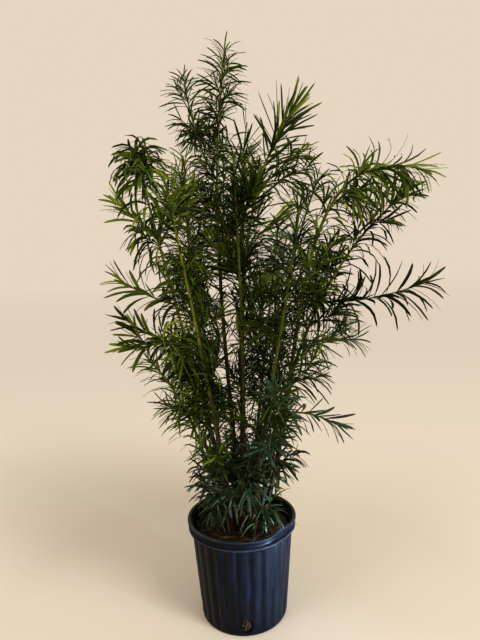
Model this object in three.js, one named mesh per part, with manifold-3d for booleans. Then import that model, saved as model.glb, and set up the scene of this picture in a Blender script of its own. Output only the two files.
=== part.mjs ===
// A podocarpus grown as a clump of upright canes in a ribbed black nursery pot. Millimetres, +Z up.
// The origin is the centre of the pot's flat underside, and -Y is the plant's front.
//
// The plant is a table of canes, which rise from the soil, and of sprays, which fork off the canes. A cane is
// a bare woody stem up to where its leaves begin, and a leafy head from there on. Heads and sprays branch and
// leaf by one seeded rule: twigs and leaves stand round a stem a golden angle apart.
import * as THREE from "three";
import { mergeVertices } from "three/addons/utils/BufferGeometryUtils.js";
import Module from "manifold-3d";

const wasm = await Module();
wasm.setup();

// ---- driving dimensions -------------------------------------------------------------------------------------

const POT = {
  height: 272,
  rimRadius: 150, // outside of the rolled lip
  lipHeight: 6,
  bandRadius: 144, // outside of the plain band under the lip
  flangeRadius: 148, // ridge at the foot of the band
  flangeHeight: 5,
  collarHeight: 26, // lip, band and ridge together
  shoulderRadius: 138, // ribbed wall under the ridge
  baseRadius: 117,
  baseRound: 5,
  wall: 3.2,
  floor: 5,
  ribs: 26,
  ribDepth: 2.6,
  holes: 4,
  holeWidth: 28,
  holeHeight: 42,
  holeRise: 30, // centre of a drain hole above the underside
  holeTurn: 3.5, // degrees that the front hole is off the middle
};
const SOIL_LEVEL = 240;
const CLEARANCE = 0.35; // between neighbouring solids

const LEAF = {
  width: 0.2, // shares of the length
  thickness: 0.016,
  widest: 0.42,
  arch: 0.05,
  sag: 0.13,
  spacing: 58, // between leaves along a stem, less towards its tip
  last: 4, // root of the last leaf, below the stem's tip
  closedAngle: 22, // from the stem, at its tip
  openAngle: 68, // from the stem, on older wood
  closingLength: 170, // last stretch of a stem, where leaves close up
};
const TWIG = {
  length: 140,
  shortening: 0.65, // share of its length lost by a twig at the stem's tip
  last: 0.82, // share along the stem above which none stands
  angle: 50, // from its stem
  lift: 0.22, // share of its length that its tip turns up
  radius: 2.2,
  tipRadius: 1.1,
  bare: 0.15, // share at its root with no leaves
};
const MASS_REACH = 190; // no leaf of a mass ends further than this from the foot of the mass's own stem
const MASS_TIP_REACH = 118; // and this from its tip
const GOLDEN_ANGLE = 137.508;
const CANE_TIP_RADIUS = 2.2;
const FLARE = 1.45; // a cane's foot against its girth
const FLARE_HEIGHT = 22;

// Canes: foot on the soil, two handles that shape the rise, and the tip of the woody axis. girth is the radius
// just above the flare, bare the share of the curve with no leaves of its own, leaf the leaf's length. closed is
// the angle of the leaves at the tip, where it isn't the usual one.
const CANES = [
  {
    name: "leader", foot: [0, 6], rise: [-20, 10, 650], reach: [-72, 34, 1090], tip: [-4, 40, 1514],
    girth: 7, bare: 0.3, twigs: 7, leaf: 92,
  },
  {
    name: "crest", foot: [20, -14], rise: [8, -8, 640], reach: [-14, -30, 1100], tip: [157, -30, 1328],
    girth: 6.5, bare: 0.34, twigs: 4, leaf: 112, closed: 16,
  },
  {
    name: "far_left", foot: [-26, -18], rise: [-55, -22, 500], reach: [-182, -56, 950], tip: [-228, -60, 1240],
    girth: 6.5, bare: 0.26, twigs: 4, leaf: 92, closed: 62,
  },
  {
    name: "low_left", foot: [-50, -2], rise: [-80, -6, 400], reach: [-118, -20, 590], tip: [-222, -70, 722],
    girth: 4.5, bare: 0.42, twigs: 2, leaf: 86,
  },
  {
    name: "back_left", foot: [-34, 26], rise: [-70, 50, 560], reach: [-110, 190, 900], tip: [-150, 235, 1215],
    girth: 6, bare: 0.25, twigs: 5, leaf: 92,
  },
  {
    name: "mid_left", foot: [-24, 6], rise: [-60, 14, 560], reach: [-130, 20, 880], tip: [-120, 30, 1236],
    girth: 5.5, bare: 0.34, twigs: 4, leaf: 88,
  },
  {
    name: "far_right", foot: [54, -6], rise: [200, 0, 700], reach: [130, -16, 1290], tip: [494, -22, 1180],
    girth: 7, bare: 0.25, twigs: 6, leaf: 92,
  },
  {
    name: "right", foot: [48, 22], rise: [112, 30, 560], reach: [200, 62, 930], tip: [472, 64, 1132],
    girth: 6.5, bare: 0.28, twigs: 5, leaf: 96,
  },
  {
    name: "inner_right", foot: [24, 20], rise: [60, 50, 560], reach: [150, 100, 960], tip: [246, 110, 1192],
    girth: 5.5, bare: 0.32, twigs: 4, leaf: 88,
  },
  {
    name: "back", foot: [-6, 34], rise: [14, 80, 560], reach: [30, 150, 1000], tip: [40, 240, 1290],
    girth: 6, bare: 0.27, twigs: 5, leaf: 92,
  },
  {
    name: "back_right", foot: [20, 50], rise: [60, 110, 520], reach: [110, 230, 860], tip: [150, 330, 1080],
    girth: 6, bare: 0.25, twigs: 4, leaf: 92,
  },
  {
    name: "front_left", foot: [-26, -40], rise: [-50, -60, 520], reach: [-90, -170, 820], tip: [-125, -235, 1065],
    girth: 6, bare: 0.25, twigs: 4, leaf: 88,
  },
  {
    name: "front", foot: [-2, -30], rise: [26, -50, 560], reach: [16, -130, 960], tip: [10, -165, 1205],
    girth: 5.5, bare: 0.28, twigs: 4, leaf: 88,
  },
  {
    name: "front_right", foot: [28, -46], rise: [50, -80, 520], reach: [110, -190, 780], tip: [146, -250, 1065],
    girth: 6, bare: 0.25, twigs: 4, leaf: 88,
  },
];

// Sprays: the cane that each forks off, the share along it, a handle and the tip.
const SPRAYS = [
  { name: "leader_fork", from: "leader", at: 0.74, via: [-94, 66, 1280], tip: [-118, 84, 1462], twigs: 3, leaf: 84 },
  { name: "leader_low", from: "leader", at: 0.56, via: [-20, 90, 1090], tip: [-20, 130, 1250], twigs: 1, leaf: 84 },
  { name: "crest_side", from: "crest", at: 0.74, via: [96, 10, 1190], tip: [196, 12, 1246], twigs: 1, leaf: 84 },
  { name: "crest_left", from: "crest", at: 0.6, via: [10, -100, 1080], tip: [44, -120, 1278], twigs: 1, leaf: 84 },
  { name: "left_fork", from: "far_left", at: 0.76, via: [-172, -84, 1080], tip: [-142, -88, 1146], twigs: 1, leaf: 84 },
  { name: "left_spray_1", from: "far_left", at: 0.77, via: [-224, -72, 1068], tip: [-270, -84, 1108], twigs: 0, leaf: 84 },
  { name: "left_spray_2", from: "far_left", at: 0.62, via: [-214, -64, 876], tip: [-282, -70, 924], twigs: 0, leaf: 90 },
  { name: "left_spray_3", from: "far_left", at: 0.51, via: [-196, -60, 764], tip: [-274, -74, 826], twigs: 1, leaf: 90 },
  { name: "left_spray_4", from: "low_left", at: 0.72, via: [-140, -60, 582], tip: [-176, -90, 606], twigs: 0, leaf: 84 },
  { name: "right_arm", from: "far_right", at: 0.45, via: [300, -38, 828], tip: [484, -62, 894], twigs: 0, leaf: 92 },
  { name: "right_spray_1", from: "far_right", at: 0.36, via: [240, -34, 752], tip: [306, -48, 754], twigs: 1, leaf: 88 },
  { name: "right_spray_2", from: "right", at: 0.6, via: [236, 120, 880], tip: [290, 166, 940], twigs: 1, leaf: 84 },
  { name: "right_spray_3", from: "far_right", at: 0.22, via: [196, -50, 572], tip: [262, -64, 530], twigs: 0, leaf: 84 },
  { name: "front_spray_1", from: "front_right", at: 0.3, via: [70, -140, 520], tip: [100, -176, 545], twigs: 0, leaf: 84 },
  { name: "front_spray_2", from: "front_left", at: 0.22, via: [-52, -110, 460], tip: [-58, -150, 496], twigs: 0, leaf: 90 },
  { name: "front_spray_3", from: "front_right", at: 0.46, via: [90, -190, 620], tip: [90, -232, 670], twigs: 0, leaf: 80 },
  { name: "back_spray_1", from: "back_right", at: 0.34, via: [50, 170, 560], tip: [40, 230, 600], twigs: 1, leaf: 84 },
  { name: "back_spray_2", from: "back_left", at: 0.34, via: [-130, 150, 620], tip: [-190, 200, 680], twigs: 1, leaf: 84 },
  { name: "back_spray_3", from: "back_left", at: 0.6, via: [-134, 205, 905], tip: [-130, 262, 1000], twigs: 1, leaf: 84 },
];

// Short shoots low on the canes, which arch out over the soil: the cane, the share along it and the compass turn.
const LOW_SHOOTS = [
  { from: "far_left", at: 0.07, turn: 225 },
  { from: "low_left", at: 0.22, turn: 100 },
  { from: "back_left", at: 0.12, turn: 112 },
  { from: "back", at: 0.08, turn: 95 },
  { from: "back_right", at: 0.14, turn: 60 },
  { from: "right", at: 0.07, turn: 72 },
  { from: "far_right", at: 0.12, turn: -78 },
  { from: "front_right", at: 0.08, turn: -62 },
  { from: "front", at: 0.14, turn: -88 },
  { from: "front_left", at: 0.09, turn: -120 },
];
const LOW_SHOOT = { reach: 62, lift: 26, twigs: 2, twigShare: 0.7, leaf: 80 };
// Degrees that the twigs of some masses are turned by, to keep out of the photo's sky.
const TWIG_TURNS = {
  leader_foliage: 210,
  leader_fork: 60,
  crest_foliage: 210,
  far_left_foliage: 210,
  far_right_foliage: 90,
  right_foliage: 330,
  front_right_foliage: 30,
  inner_right_foliage: 90,
  right_spray_1: 150,
  right_spray_2: 200,
};
const SPRAY_RADIUS = 2.9;
const SPRAY_TIP_RADIUS = 1.6;

// Facets: sides round each kind of stem, and steps along it.
const FACETS = {
  bare: { sides: 6, steps: 5 },
  head: { sides: 4, steps: 6 },
  spray: { sides: 3, steps: 4 },
  twig: { sides: 3, steps: 2 },
};
const SMOOTHING = 0.02; // dents and nicks shallower than this go when a mass is fused

const COLOURS = {
  pot: [0x1d2229, 0.5],
  soil: [0x2b1d13, 0.95],
  bark: [0x5b4a33, 0.85],
  foliage: [0x2f4a1b, 0.5],
};

// ---- small helpers ------------------------------------------------------------------------------------------

const vec = (p) => new THREE.Vector3(...p);
const radians = THREE.MathUtils.degToRad;
const mix = THREE.MathUtils.lerp;
const UP = vec([0, 0, 1]);

// A repeatable stream of numbers from 0 to 1.
function randomFrom(seed) {
  let state = Math.imul(seed, 2654435761) >>> 0;
  return () => {
    state = (Math.imul(state, 1664525) + 1013904223) >>> 0;
    return state / 4294967296;
  };
}

// The point at share u of a Bezier curve with any number of control points.
function pointOn(controls, u) {
  let points = controls;
  while (points.length > 1) {
    const [earlier, later] = [points.slice(0, -1), points.slice(1)];
    points = earlier.map((p, i) => p.clone().lerp(later[i], u));
  }
  return points[0];
}

function slopeOn(controls, u) {
  const steps = controls.slice(1).map((p, i) => p.clone().sub(controls[i]));
  return pointOn(steps, u).normalize();
}

function lengthOf(controls, from, to) {
  const STEPS = 24;
  let sum = 0;
  for (let i = 0; i < STEPS; i++) {
    const [start, end] = [i, i + 1].map((k) => pointOn(controls, mix(from, to, k / STEPS)));
    sum += start.distanceTo(end);
  }
  return sum;
}

// Two directions square to a stem, turned alike all along it: they start from whichever of the X and Y axes
// its chord is further from.
function squareTo(controls, direction) {
  const chord = controls.at(-1).clone().sub(controls[0]);
  const axis = Math.abs(chord.x) < Math.abs(chord.y) ? vec([1, 0, 0]) : vec([0, 1, 0]);
  const side = axis.addScaledVector(direction, -axis.dot(direction)).normalize();
  return [side, direction.clone().cross(side)];
}

// Straight out from a stem, at a turn about it.
function outFrom(controls, direction, turn) {
  const [side, other] = squareTo(controls, direction);
  return side.multiplyScalar(Math.cos(turn)).addScaledVector(other, Math.sin(turn));
}

// ---- solids -------------------------------------------------------------------------------------------------

function solidOf(points, faces) {
  const vertProperties = new Float32Array(points.flatMap((p) => p.toArray()));
  const triVerts = new Uint32Array(faces.flat());
  return new wasm.Manifold(new wasm.Mesh({ numProp: 3, vertProperties, triVerts }));
}

// Rings of points joined into one closed skin, with a flat cap on the first and the last.
function skinOver(rings) {
  const sides = rings[0].length;
  const last = (rings.length - 1) * sides;
  const faces = [];
  for (let k = 0; k < last; k += sides)
    for (let i = 0; i < sides; i++) {
      const [a, b] = [k + i, k + ((i + 1) % sides)];
      faces.push([a, b, b + sides], [a, b + sides, a + sides]);
    }
  for (let i = 1; i + 1 < sides; i++) faces.push([0, i + 1, i], [last, last + i, last + i + 1]);
  return solidOf(rings.flat(), faces);
}

// A tapering stem along part of a curve, swelled evenly where a clear space round it is wanted. A cane's foot is
// cut level, and other ends square to the stem.
function stemSolid({ controls, from = 0, to = 1, radius, steps, sides, level = false }, swell = 0) {
  const rings = [];
  for (let k = 0; k <= steps; k++) {
    const u = mix(from, to, k / steps);
    const centre = pointOn(controls, u);
    const direction = level && k === 0 ? UP : slopeOn(controls, u);
    const ring = [];
    for (let i = 0; i < sides; i++) {
      const outward = outFrom(controls, direction, (2 * Math.PI * i) / sides);
      ring.push(centre.clone().addScaledVector(outward, radius(u) + swell));
    }
    rings.push(ring);
  }
  return skinOver(rings);
}

// A lance-shaped leaf: flat below, ridged above, arched up to its widest point and sagging at its tip.
function leafSolid({ base, direction, upper, length }, swell = 0) {
  const side = direction.clone().cross(upper);
  const waist = base
    .clone()
    .addScaledVector(direction, LEAF.widest * length)
    .addScaledVector(upper, LEAF.arch * length);
  const halfWidth = (LEAF.width * length) / 2 + swell;
  const points = [
    base,
    waist.clone().addScaledVector(side, halfWidth).addScaledVector(upper, -swell),
    waist.clone().addScaledVector(upper, LEAF.thickness * length + swell),
    waist.clone().addScaledVector(side, -halfWidth).addScaledVector(upper, -swell),
    leafTip({ base, direction, length: length + swell }),
  ];
  const faces = [1, 2, 3].flatMap((i) => {
    const next = (i % 3) + 1;
    return [[0, i, next], [4, next, i]];
  });
  return solidOf(points, faces);
}

function leafTip({ base, direction, length }) {
  return base.clone().addScaledVector(direction, length).addScaledVector(UP, -LEAF.sag * length);
}

// A closed three.js geometry as a solid, with its doubled corners merged.
function solidOfGeometry(geometry) {
  geometry.deleteAttribute("normal");
  geometry.deleteAttribute("uv");
  const merged = mergeVertices(geometry);
  const vertProperties = new Float32Array(merged.getAttribute("position").array);
  const triVerts = new Uint32Array(merged.index.array);
  return new wasm.Manifold(new wasm.Mesh({ numProp: 3, vertProperties, triVerts }));
}

// ---- pot and soil -------------------------------------------------------------------------------------------

const SEGMENTS_PER_RIB = 2;
const POT_SEGMENTS = POT.ribs * SEGMENTS_PER_RIB;
const COLLAR_FOOT = POT.height - POT.collarHeight;
const wallInside = (z) =>
  mix(POT.baseRadius, POT.shoulderRadius, (z - POT.floor) / (COLLAR_FOOT - POT.floor)) - POT.wall - POT.ribDepth;

// The pot's profile is turned about the axis, and every other point of the wall's rings is drawn in for a flute.
function potSolid() {
  const lipFoot = POT.height - POT.lipHeight;
  const bandFoot = COLLAR_FOOT + POT.flangeHeight;
  const profile = [
    { r: 0, z: 0 },
    { r: POT.baseRadius - POT.baseRound, z: 0 },
    { r: POT.baseRadius, z: POT.baseRound },
    { r: POT.baseRadius + 1, z: 2 * POT.baseRound, fluted: true },
    { r: POT.shoulderRadius, z: COLLAR_FOOT - 2, fluted: true },
    { r: POT.flangeRadius, z: COLLAR_FOOT },
    { r: POT.flangeRadius, z: bandFoot },
    { r: POT.bandRadius, z: bandFoot + 1 },
    { r: POT.bandRadius, z: lipFoot - 1 },
    { r: POT.rimRadius, z: lipFoot + 1 },
    { r: POT.rimRadius - 2, z: POT.height },
    { r: POT.bandRadius - POT.wall, z: POT.height },
    { r: POT.bandRadius - POT.wall - 1, z: bandFoot },
    { r: wallInside(COLLAR_FOOT), z: COLLAR_FOOT },
    { r: wallInside(POT.floor), z: POT.floor },
    { r: 0, z: POT.floor },
  ];
  const geometry = new THREE.LatheGeometry(
    profile.map((p) => new THREE.Vector2(p.r, p.z)),
    POT_SEGMENTS,
  );
  const position = geometry.getAttribute("position");
  for (let i = 0; i < position.count; i++) {
    const groove = Math.floor(i / profile.length) % SEGMENTS_PER_RIB === 1;
    const ring = profile[i % profile.length];
    if (!ring.fluted || !groove) continue;
    const share = 1 - POT.ribDepth / ring.r;
    position.setX(i, position.getX(i) * share);
    position.setZ(i, position.getZ(i) * share);
  }
  return drainHoles().reduce((pot, hole) => pot.subtract(hole), solidOfGeometry(geometry.rotateX(Math.PI / 2)));
}

function drainHoles() {
  const holes = [];
  for (let k = 0; k < POT.holes; k++) {
    const punch = new THREE.CylinderGeometry(1, 1, 6 * (POT.wall + POT.ribDepth), 10);
    punch.scale(POT.holeWidth / 2, 1, POT.holeHeight / 2).translate(0, -POT.baseRadius, POT.holeRise);
    holes.push(solidOfGeometry(punch.rotateZ(radians(POT.holeTurn + (360 * k) / POT.holes))));
  }
  return holes;
}

function soilSolid() {
  const SLACK = 2 * CLEARANCE;
  const bottom = POT.floor + CLEARANCE;
  const profile = [
    new THREE.Vector2(0, bottom),
    new THREE.Vector2(wallInside(bottom) - SLACK, bottom),
    new THREE.Vector2(wallInside(SOIL_LEVEL) - SLACK, SOIL_LEVEL),
    new THREE.Vector2(0, SOIL_LEVEL),
  ];
  return solidOfGeometry(new THREE.LatheGeometry(profile, POT.ribs).rotateX(Math.PI / 2));
}

// ---- stems --------------------------------------------------------------------------------------------------

const caneRadius = (cane) => (u) => mix(cane.girth, CANE_TIP_RADIUS, u);
const flaredRadius = (cane, controls) => (u) => {
  const height = pointOn(controls, u).z - SOIL_LEVEL;
  return caneRadius(cane)(u) * (1 + (FLARE - 1) * Math.max(0, 1 - height / FLARE_HEIGHT));
};
const sprayRadius = (u) => mix(SPRAY_RADIUS, SPRAY_TIP_RADIUS, u);
const twigRadius = (u) => mix(TWIG.radius, TWIG.tipRadius, u);

// A cane is a bare stem and, a clearance above its end, the stem of its leafy head.
function caneParts(cane, index) {
  const foot = vec([...cane.foot, SOIL_LEVEL + CLEARANCE]);
  const controls = [foot, vec(cane.rise), vec(cane.reach), vec(cane.tip)];
  const gap = CLEARANCE / lengthOf(controls, 0, 1);
  const bare = { controls, to: cane.bare, radius: flaredRadius(cane, controls), ...FACETS.bare, level: true };
  const head = { ...cane, controls, from: cane.bare + gap, radius: caneRadius(cane), ...FACETS.head };
  return { bare, head: { ...head, seed: index + 1 } };
}

// A spray starts at the middle of its cane, and is cut clear of it later.
function sprayPart(spray, cane, index) {
  const start = pointOn(cane.head.controls, spray.at);
  const controls = [start, vec(spray.via), vec(spray.tip)];
  return { ...spray, controls, cane, from: 0, radius: sprayRadius, ...FACETS.spray, seed: 40 + index };
}

function lowShootPart(shoot, cane, index) {
  const start = pointOn(cane.head.controls, shoot.at);
  const outward = vec([1, 0, 0]).applyAxisAngle(UP, radians(shoot.turn));
  const { reach, lift } = LOW_SHOOT;
  const via = start.clone().addScaledVector(outward, reach / 2).addScaledVector(UP, lift);
  const tip = start.clone().addScaledVector(outward, reach).addScaledVector(UP, lift);
  const controls = [start, via, tip];
  return { ...LOW_SHOOT, controls, cane, from: 0, radius: sprayRadius, ...FACETS.spray, seed: 80 + index };
}

// ---- the growth rule ----------------------------------------------------------------------------------------

// The side twigs of a stem. Each is a curve that leaves at an angle and lifts towards its tip.
function twigsOn({ controls, from, twigs, seed, turned = 0, twigShare = 1 }) {
  const random = randomFrom(seed);
  const made = [];
  for (let i = 0; i < twigs; i++) {
    const share = (i + 0.35 + 0.4 * random()) / twigs;
    const u = mix(from + 0.04, TWIG.last, share);
    const turn = radians(random() * 50 + i * GOLDEN_ANGLE + seed * 40 + turned);
    const length = TWIG.length * twigShare * (1 - TWIG.shortening * share) * (0.85 + 0.3 * random());
    const angle = radians(TWIG.angle + 12 * (random() - 0.5));
    const direction = slopeOn(controls, u);
    const outward = outFrom(controls, direction, turn);
    const heading = direction.multiplyScalar(Math.cos(angle)).addScaledVector(outward, Math.sin(angle));
    const start = pointOn(controls, u);
    const via = start.clone().addScaledVector(heading, length / 2);
    const tip = start.clone().addScaledVector(heading, length).addScaledVector(UP, TWIG.lift * length);
    made.push({ controls: [start, via, tip], radius: twigRadius, ...FACETS.twig, turn: 360 * random() });
  }
  return made;
}

// The leaves of a stem: a golden angle apart, crowding and closing up towards its tip.
function leavesOn({ controls, from, leaf, turn, closed = LEAF.closedAngle }) {
  const length = lengthOf(controls, from, 1);
  const leaves = [];
  for (let i = 0; ; i++) {
    const back = LEAF.last + (LEAF.spacing * i * i) / (i + 2);
    if (back > length) return leaves;
    const u = mix(1, from, back / length);
    const open = Math.min(1, back / LEAF.closingLength);
    const angle = radians(mix(closed, Math.max(closed, LEAF.openAngle), open));
    const along = slopeOn(controls, u);
    const outward = outFrom(controls, along, radians(turn + i * GOLDEN_ANGLE));
    leaves.push({
      base: pointOn(controls, u),
      direction: along.clone().multiplyScalar(Math.cos(angle)).addScaledVector(outward, Math.sin(angle)),
      upper: along.clone().multiplyScalar(Math.sin(angle)).addScaledVector(outward, -Math.cos(angle)),
      length: leaf * mix(0.86, 1, open),
    });
  }
}

// ---- the plant ----------------------------------------------------------------------------------------------

// Solids that stand already, each with its node's name. A new one must miss those of every other node.
const placed = [];

function place(node, solid) {
  placed.push({ node, solid, box: solid.boundingBox() });
}

function boxesMeet(a, b) {
  return [0, 1, 2].every((k) => a.min[k] <= b.max[k] && b.min[k] <= a.max[k]);
}

function isFree(node, solid) {
  const box = solid.boundingBox();
  const others = placed.filter((p) => p.node !== node && boxesMeet(p.box, box));
  return others.every((p) => p.solid.intersect(solid).isEmpty());
}

// Whether a point is inside the space of a mass, which narrows from the foot of the mass's stem to its tip.
function isInSpace(controls, point) {
  const shares = Array.from({ length: 25 }, (_, i) => i / 24);
  const distances = shares.map((u) => pointOn(controls, u).distanceTo(point));
  const nearest = Math.min(...distances);
  return nearest < mix(MASS_REACH, MASS_TIP_REACH, shares[distances.indexOf(nearest)]);
}

function growPlant() {
  const canes = new Map(CANES.map((cane, index) => [cane.name, caneParts(cane, index)]));
  const masses = new Map();
  for (const [name, { bare, head }] of canes) {
    place(name + "_stem", stemSolid(bare));
    masses.set(name + "_foliage", head);
  }
  SPRAYS.forEach((spray, i) => masses.set(spray.name, sprayPart(spray, canes.get(spray.from), i)));
  LOW_SHOOTS.forEach((shoot, i) => masses.set("low_shoot_" + (i + 1), lowShootPart(shoot, canes.get(shoot.from), i)));

  // Every mass's own stem comes first, so that twigs and leaves keep clear of them all.
  for (const [node, mass] of masses) {
    mass.pieces = [];
    const { cane } = mass;
    mass.clearing = cane && stemSolid(cane.bare, CLEARANCE).add(stemSolid(cane.head, CLEARANCE));
    const stem = cane ? stemSolid(mass).subtract(mass.clearing) : stemSolid(mass);
    if (!isFree(node, stem)) throw new Error(node + " runs into another stem");
    place(node, stem);
    mass.pieces.push(stem);
  }
  const addIfFree = (node, solid, swollen) => {
    const free = isFree(node, swollen);
    if (free) {
      place(node, solid);
      masses.get(node).pieces.push(solid);
    }
    return free;
  };
  const leafyStems = [];
  for (const [node, mass] of masses) {
    leafyStems.push({ ...mass, node, turn: mass.seed * 77, home: mass.controls });
    for (const twig of twigsOn({ ...mass, turned: TWIG_TURNS[node] }))
      if (addIfFree(node, stemSolid(twig), stemSolid(twig, 1)))
        leafyStems.push({ ...twig, node, from: TWIG.bare, leaf: mass.leaf, closed: mass.closed, home: mass.controls });
  }
  for (const stem of leafyStems)
    for (const leaf of leavesOn(stem))
      if (isInSpace(stem.home, leafTip(leaf)))
        addIfFree(stem.node, leafSolid(leaf), leafSolid(leaf, CLEARANCE));
  return masses;
}

// One closed body from a mass's overlapping pieces, cut clear of the cane that holds it. Loose scraps are dropped.
function fuse({ pieces, clearing }) {
  const whole = wasm.Manifold.union(pieces);
  const bodies = (clearing ? whole.subtract(clearing) : whole).simplify(SMOOTHING).decompose();
  return bodies.reduce((a, b) => (a.volume() > b.volume() ? a : b));
}

// ---- the scene graph ----------------------------------------------------------------------------------------

function meshOf(name, solid, [color, roughness]) {
  const { vertProperties, triVerts } = solid.getMesh();
  const geometry = new THREE.BufferGeometry();
  geometry.setAttribute("position", new THREE.BufferAttribute(vertProperties, 3));
  geometry.setIndex(new THREE.BufferAttribute(triVerts, 1));
  geometry.computeVertexNormals();
  const mesh = new THREE.Mesh(geometry, new THREE.MeshStandardMaterial({ color, roughness, metalness: 0 }));
  mesh.name = name;
  return mesh;
}

const plant = new THREE.Group();
const pot = potSolid();
const soil = soilSolid();
place("pot", pot);
place("soil", soil);
const masses = growPlant();
plant.add(meshOf("pot", pot, COLOURS.pot));
plant.add(meshOf("soil", soil, COLOURS.soil));
for (const { node, solid } of placed.filter((p) => p.node.endsWith("_stem")))
  plant.add(meshOf(node, solid, COLOURS.bark));
for (const [node, mass] of masses) plant.add(meshOf(node, fuse(mass), COLOURS.foliage));

export default plant;
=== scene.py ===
"""The looks of a potted podocarpus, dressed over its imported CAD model.

The tables of the plant and its growth rule are the CAD source's, in millimetres. Here they are carried on to
finer twigs and to leaves of the real size. Every mesh is made in millimetres and turned into metres as it is
built. -Y is the front and +Z is up.
"""

from dataclasses import dataclass, replace
from math import cos, hypot, pi, radians, sin, sqrt

import bpy
import numpy as np
from mathutils import Matrix, Vector


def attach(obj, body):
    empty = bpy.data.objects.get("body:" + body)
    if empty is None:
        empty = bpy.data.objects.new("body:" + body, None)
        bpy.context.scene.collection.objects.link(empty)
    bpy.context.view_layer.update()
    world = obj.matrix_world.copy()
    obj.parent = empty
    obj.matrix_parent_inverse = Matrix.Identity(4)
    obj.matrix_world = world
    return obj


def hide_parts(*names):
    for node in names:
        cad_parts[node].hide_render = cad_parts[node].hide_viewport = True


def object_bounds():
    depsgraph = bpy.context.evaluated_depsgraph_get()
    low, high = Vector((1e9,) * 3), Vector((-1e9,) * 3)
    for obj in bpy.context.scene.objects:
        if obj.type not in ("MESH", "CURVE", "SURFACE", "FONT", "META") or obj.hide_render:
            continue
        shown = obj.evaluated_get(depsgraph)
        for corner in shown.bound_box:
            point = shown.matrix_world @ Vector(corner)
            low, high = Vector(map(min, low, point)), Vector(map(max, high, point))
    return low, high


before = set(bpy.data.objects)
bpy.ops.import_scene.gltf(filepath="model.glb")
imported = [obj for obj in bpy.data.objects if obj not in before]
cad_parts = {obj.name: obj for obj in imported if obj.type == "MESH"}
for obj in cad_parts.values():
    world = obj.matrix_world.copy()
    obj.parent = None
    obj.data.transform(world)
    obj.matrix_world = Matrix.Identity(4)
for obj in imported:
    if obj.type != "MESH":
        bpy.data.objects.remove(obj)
cad_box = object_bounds()

MM = 0.001
CAMERA_PLACE = (0.013, -1.276, 0.925)
UP = np.array([0.0, 0.0, 1.0])

# ---- the plant's tables, as in the CAD source but for the leaves, which have their real length ----

SOIL_LEVEL = 240
POT_HEIGHT = 272
POT_MOUTH = 132  # radius inside which there is only soil
CLEARANCE = 0.35  # gap between two solids of the CAD model
GOLDEN_ANGLE = 137.508
MASS_REACH = 190  # furthest that a mass's leaves end from its own stem, at the stem's foot
MASS_TIP_REACH = 118  # and at its tip
CANE_TIP_RADIUS = 2.2
FLARE = 1.45  # a cane's foot against its girth
FLARE_HEIGHT = 22
SPRAY_RADIUS = 2.9
SPRAY_TIP_RADIUS = 1.6

# cane: foot, two handles, tip and girth
CANES = {
    "leader": ((0, 6), (-20, 10, 650), (-72, 34, 1090), (-4, 40, 1514), 7),
    "crest": ((20, -14), (8, -8, 640), (-14, -30, 1100), (157, -30, 1328), 6.5),
    "far_left": ((-26, -18), (-55, -22, 500), (-182, -56, 950), (-228, -60, 1240), 6.5),
    "low_left": ((-50, -2), (-80, -6, 400), (-118, -20, 590), (-222, -70, 722), 4.5),
    "back_left": ((-34, 26), (-70, 50, 560), (-110, 190, 900), (-150, 235, 1215), 6),
    "mid_left": ((-24, 6), (-60, 14, 560), (-130, 20, 880), (-120, 30, 1236), 5.5),
    "far_right": ((54, -6), (200, 0, 700), (130, -16, 1290), (494, -22, 1180), 7),
    "right": ((48, 22), (112, 30, 560), (200, 62, 930), (472, 64, 1132), 6.5),
    "inner_right": ((24, 20), (60, 50, 560), (150, 100, 960), (246, 110, 1192), 5.5),
    "back": ((-6, 34), (14, 80, 560), (30, 150, 1000), (40, 240, 1290), 6),
    "back_right": ((20, 50), (60, 110, 520), (110, 230, 860), (150, 330, 1080), 6),
    "front_left": ((-26, -40), (-50, -60, 520), (-90, -170, 820), (-125, -235, 1065), 6),
    "front": ((-2, -30), (26, -50, 560), (16, -130, 960), (10, -165, 1205), 5.5),
    "front_right": ((28, -46), (50, -80, 520), (110, -190, 780), (146, -250, 1065), 6),
}

# cane: share of it that is bare, and the twigs, leaf length, habit and tint of the head above that
HEADS = {
    "leader": (0.3, 7, 76, "leader", "green"),
    "crest": (0.34, 4, 108, "straight", "bright"),
    "far_left": (0.26, 4, 96, "rosette", "lively"),
    "low_left": (0.42, 2, 80, "arched", "lively"),
    "back_left": (0.25, 5, 84, "arched", "green"),
    "mid_left": (0.34, 4, 84, "arched", "lively"),
    "far_right": (0.25, 6, 94, "curled", "lively"),
    "right": (0.28, 5, 94, "curled", "green"),
    "inner_right": (0.32, 4, 84, "arched", "shade"),
    "back": (0.27, 5, 82, "arched", "shade"),
    "back_right": (0.25, 4, 84, "arched", "green"),
    "front_left": (0.25, 4, 84, "arched", "green"),
    "front": (0.28, 4, 82, "arched", "shade"),
    "front_right": (0.25, 4, 84, "arched", "shade"),
}

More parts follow.
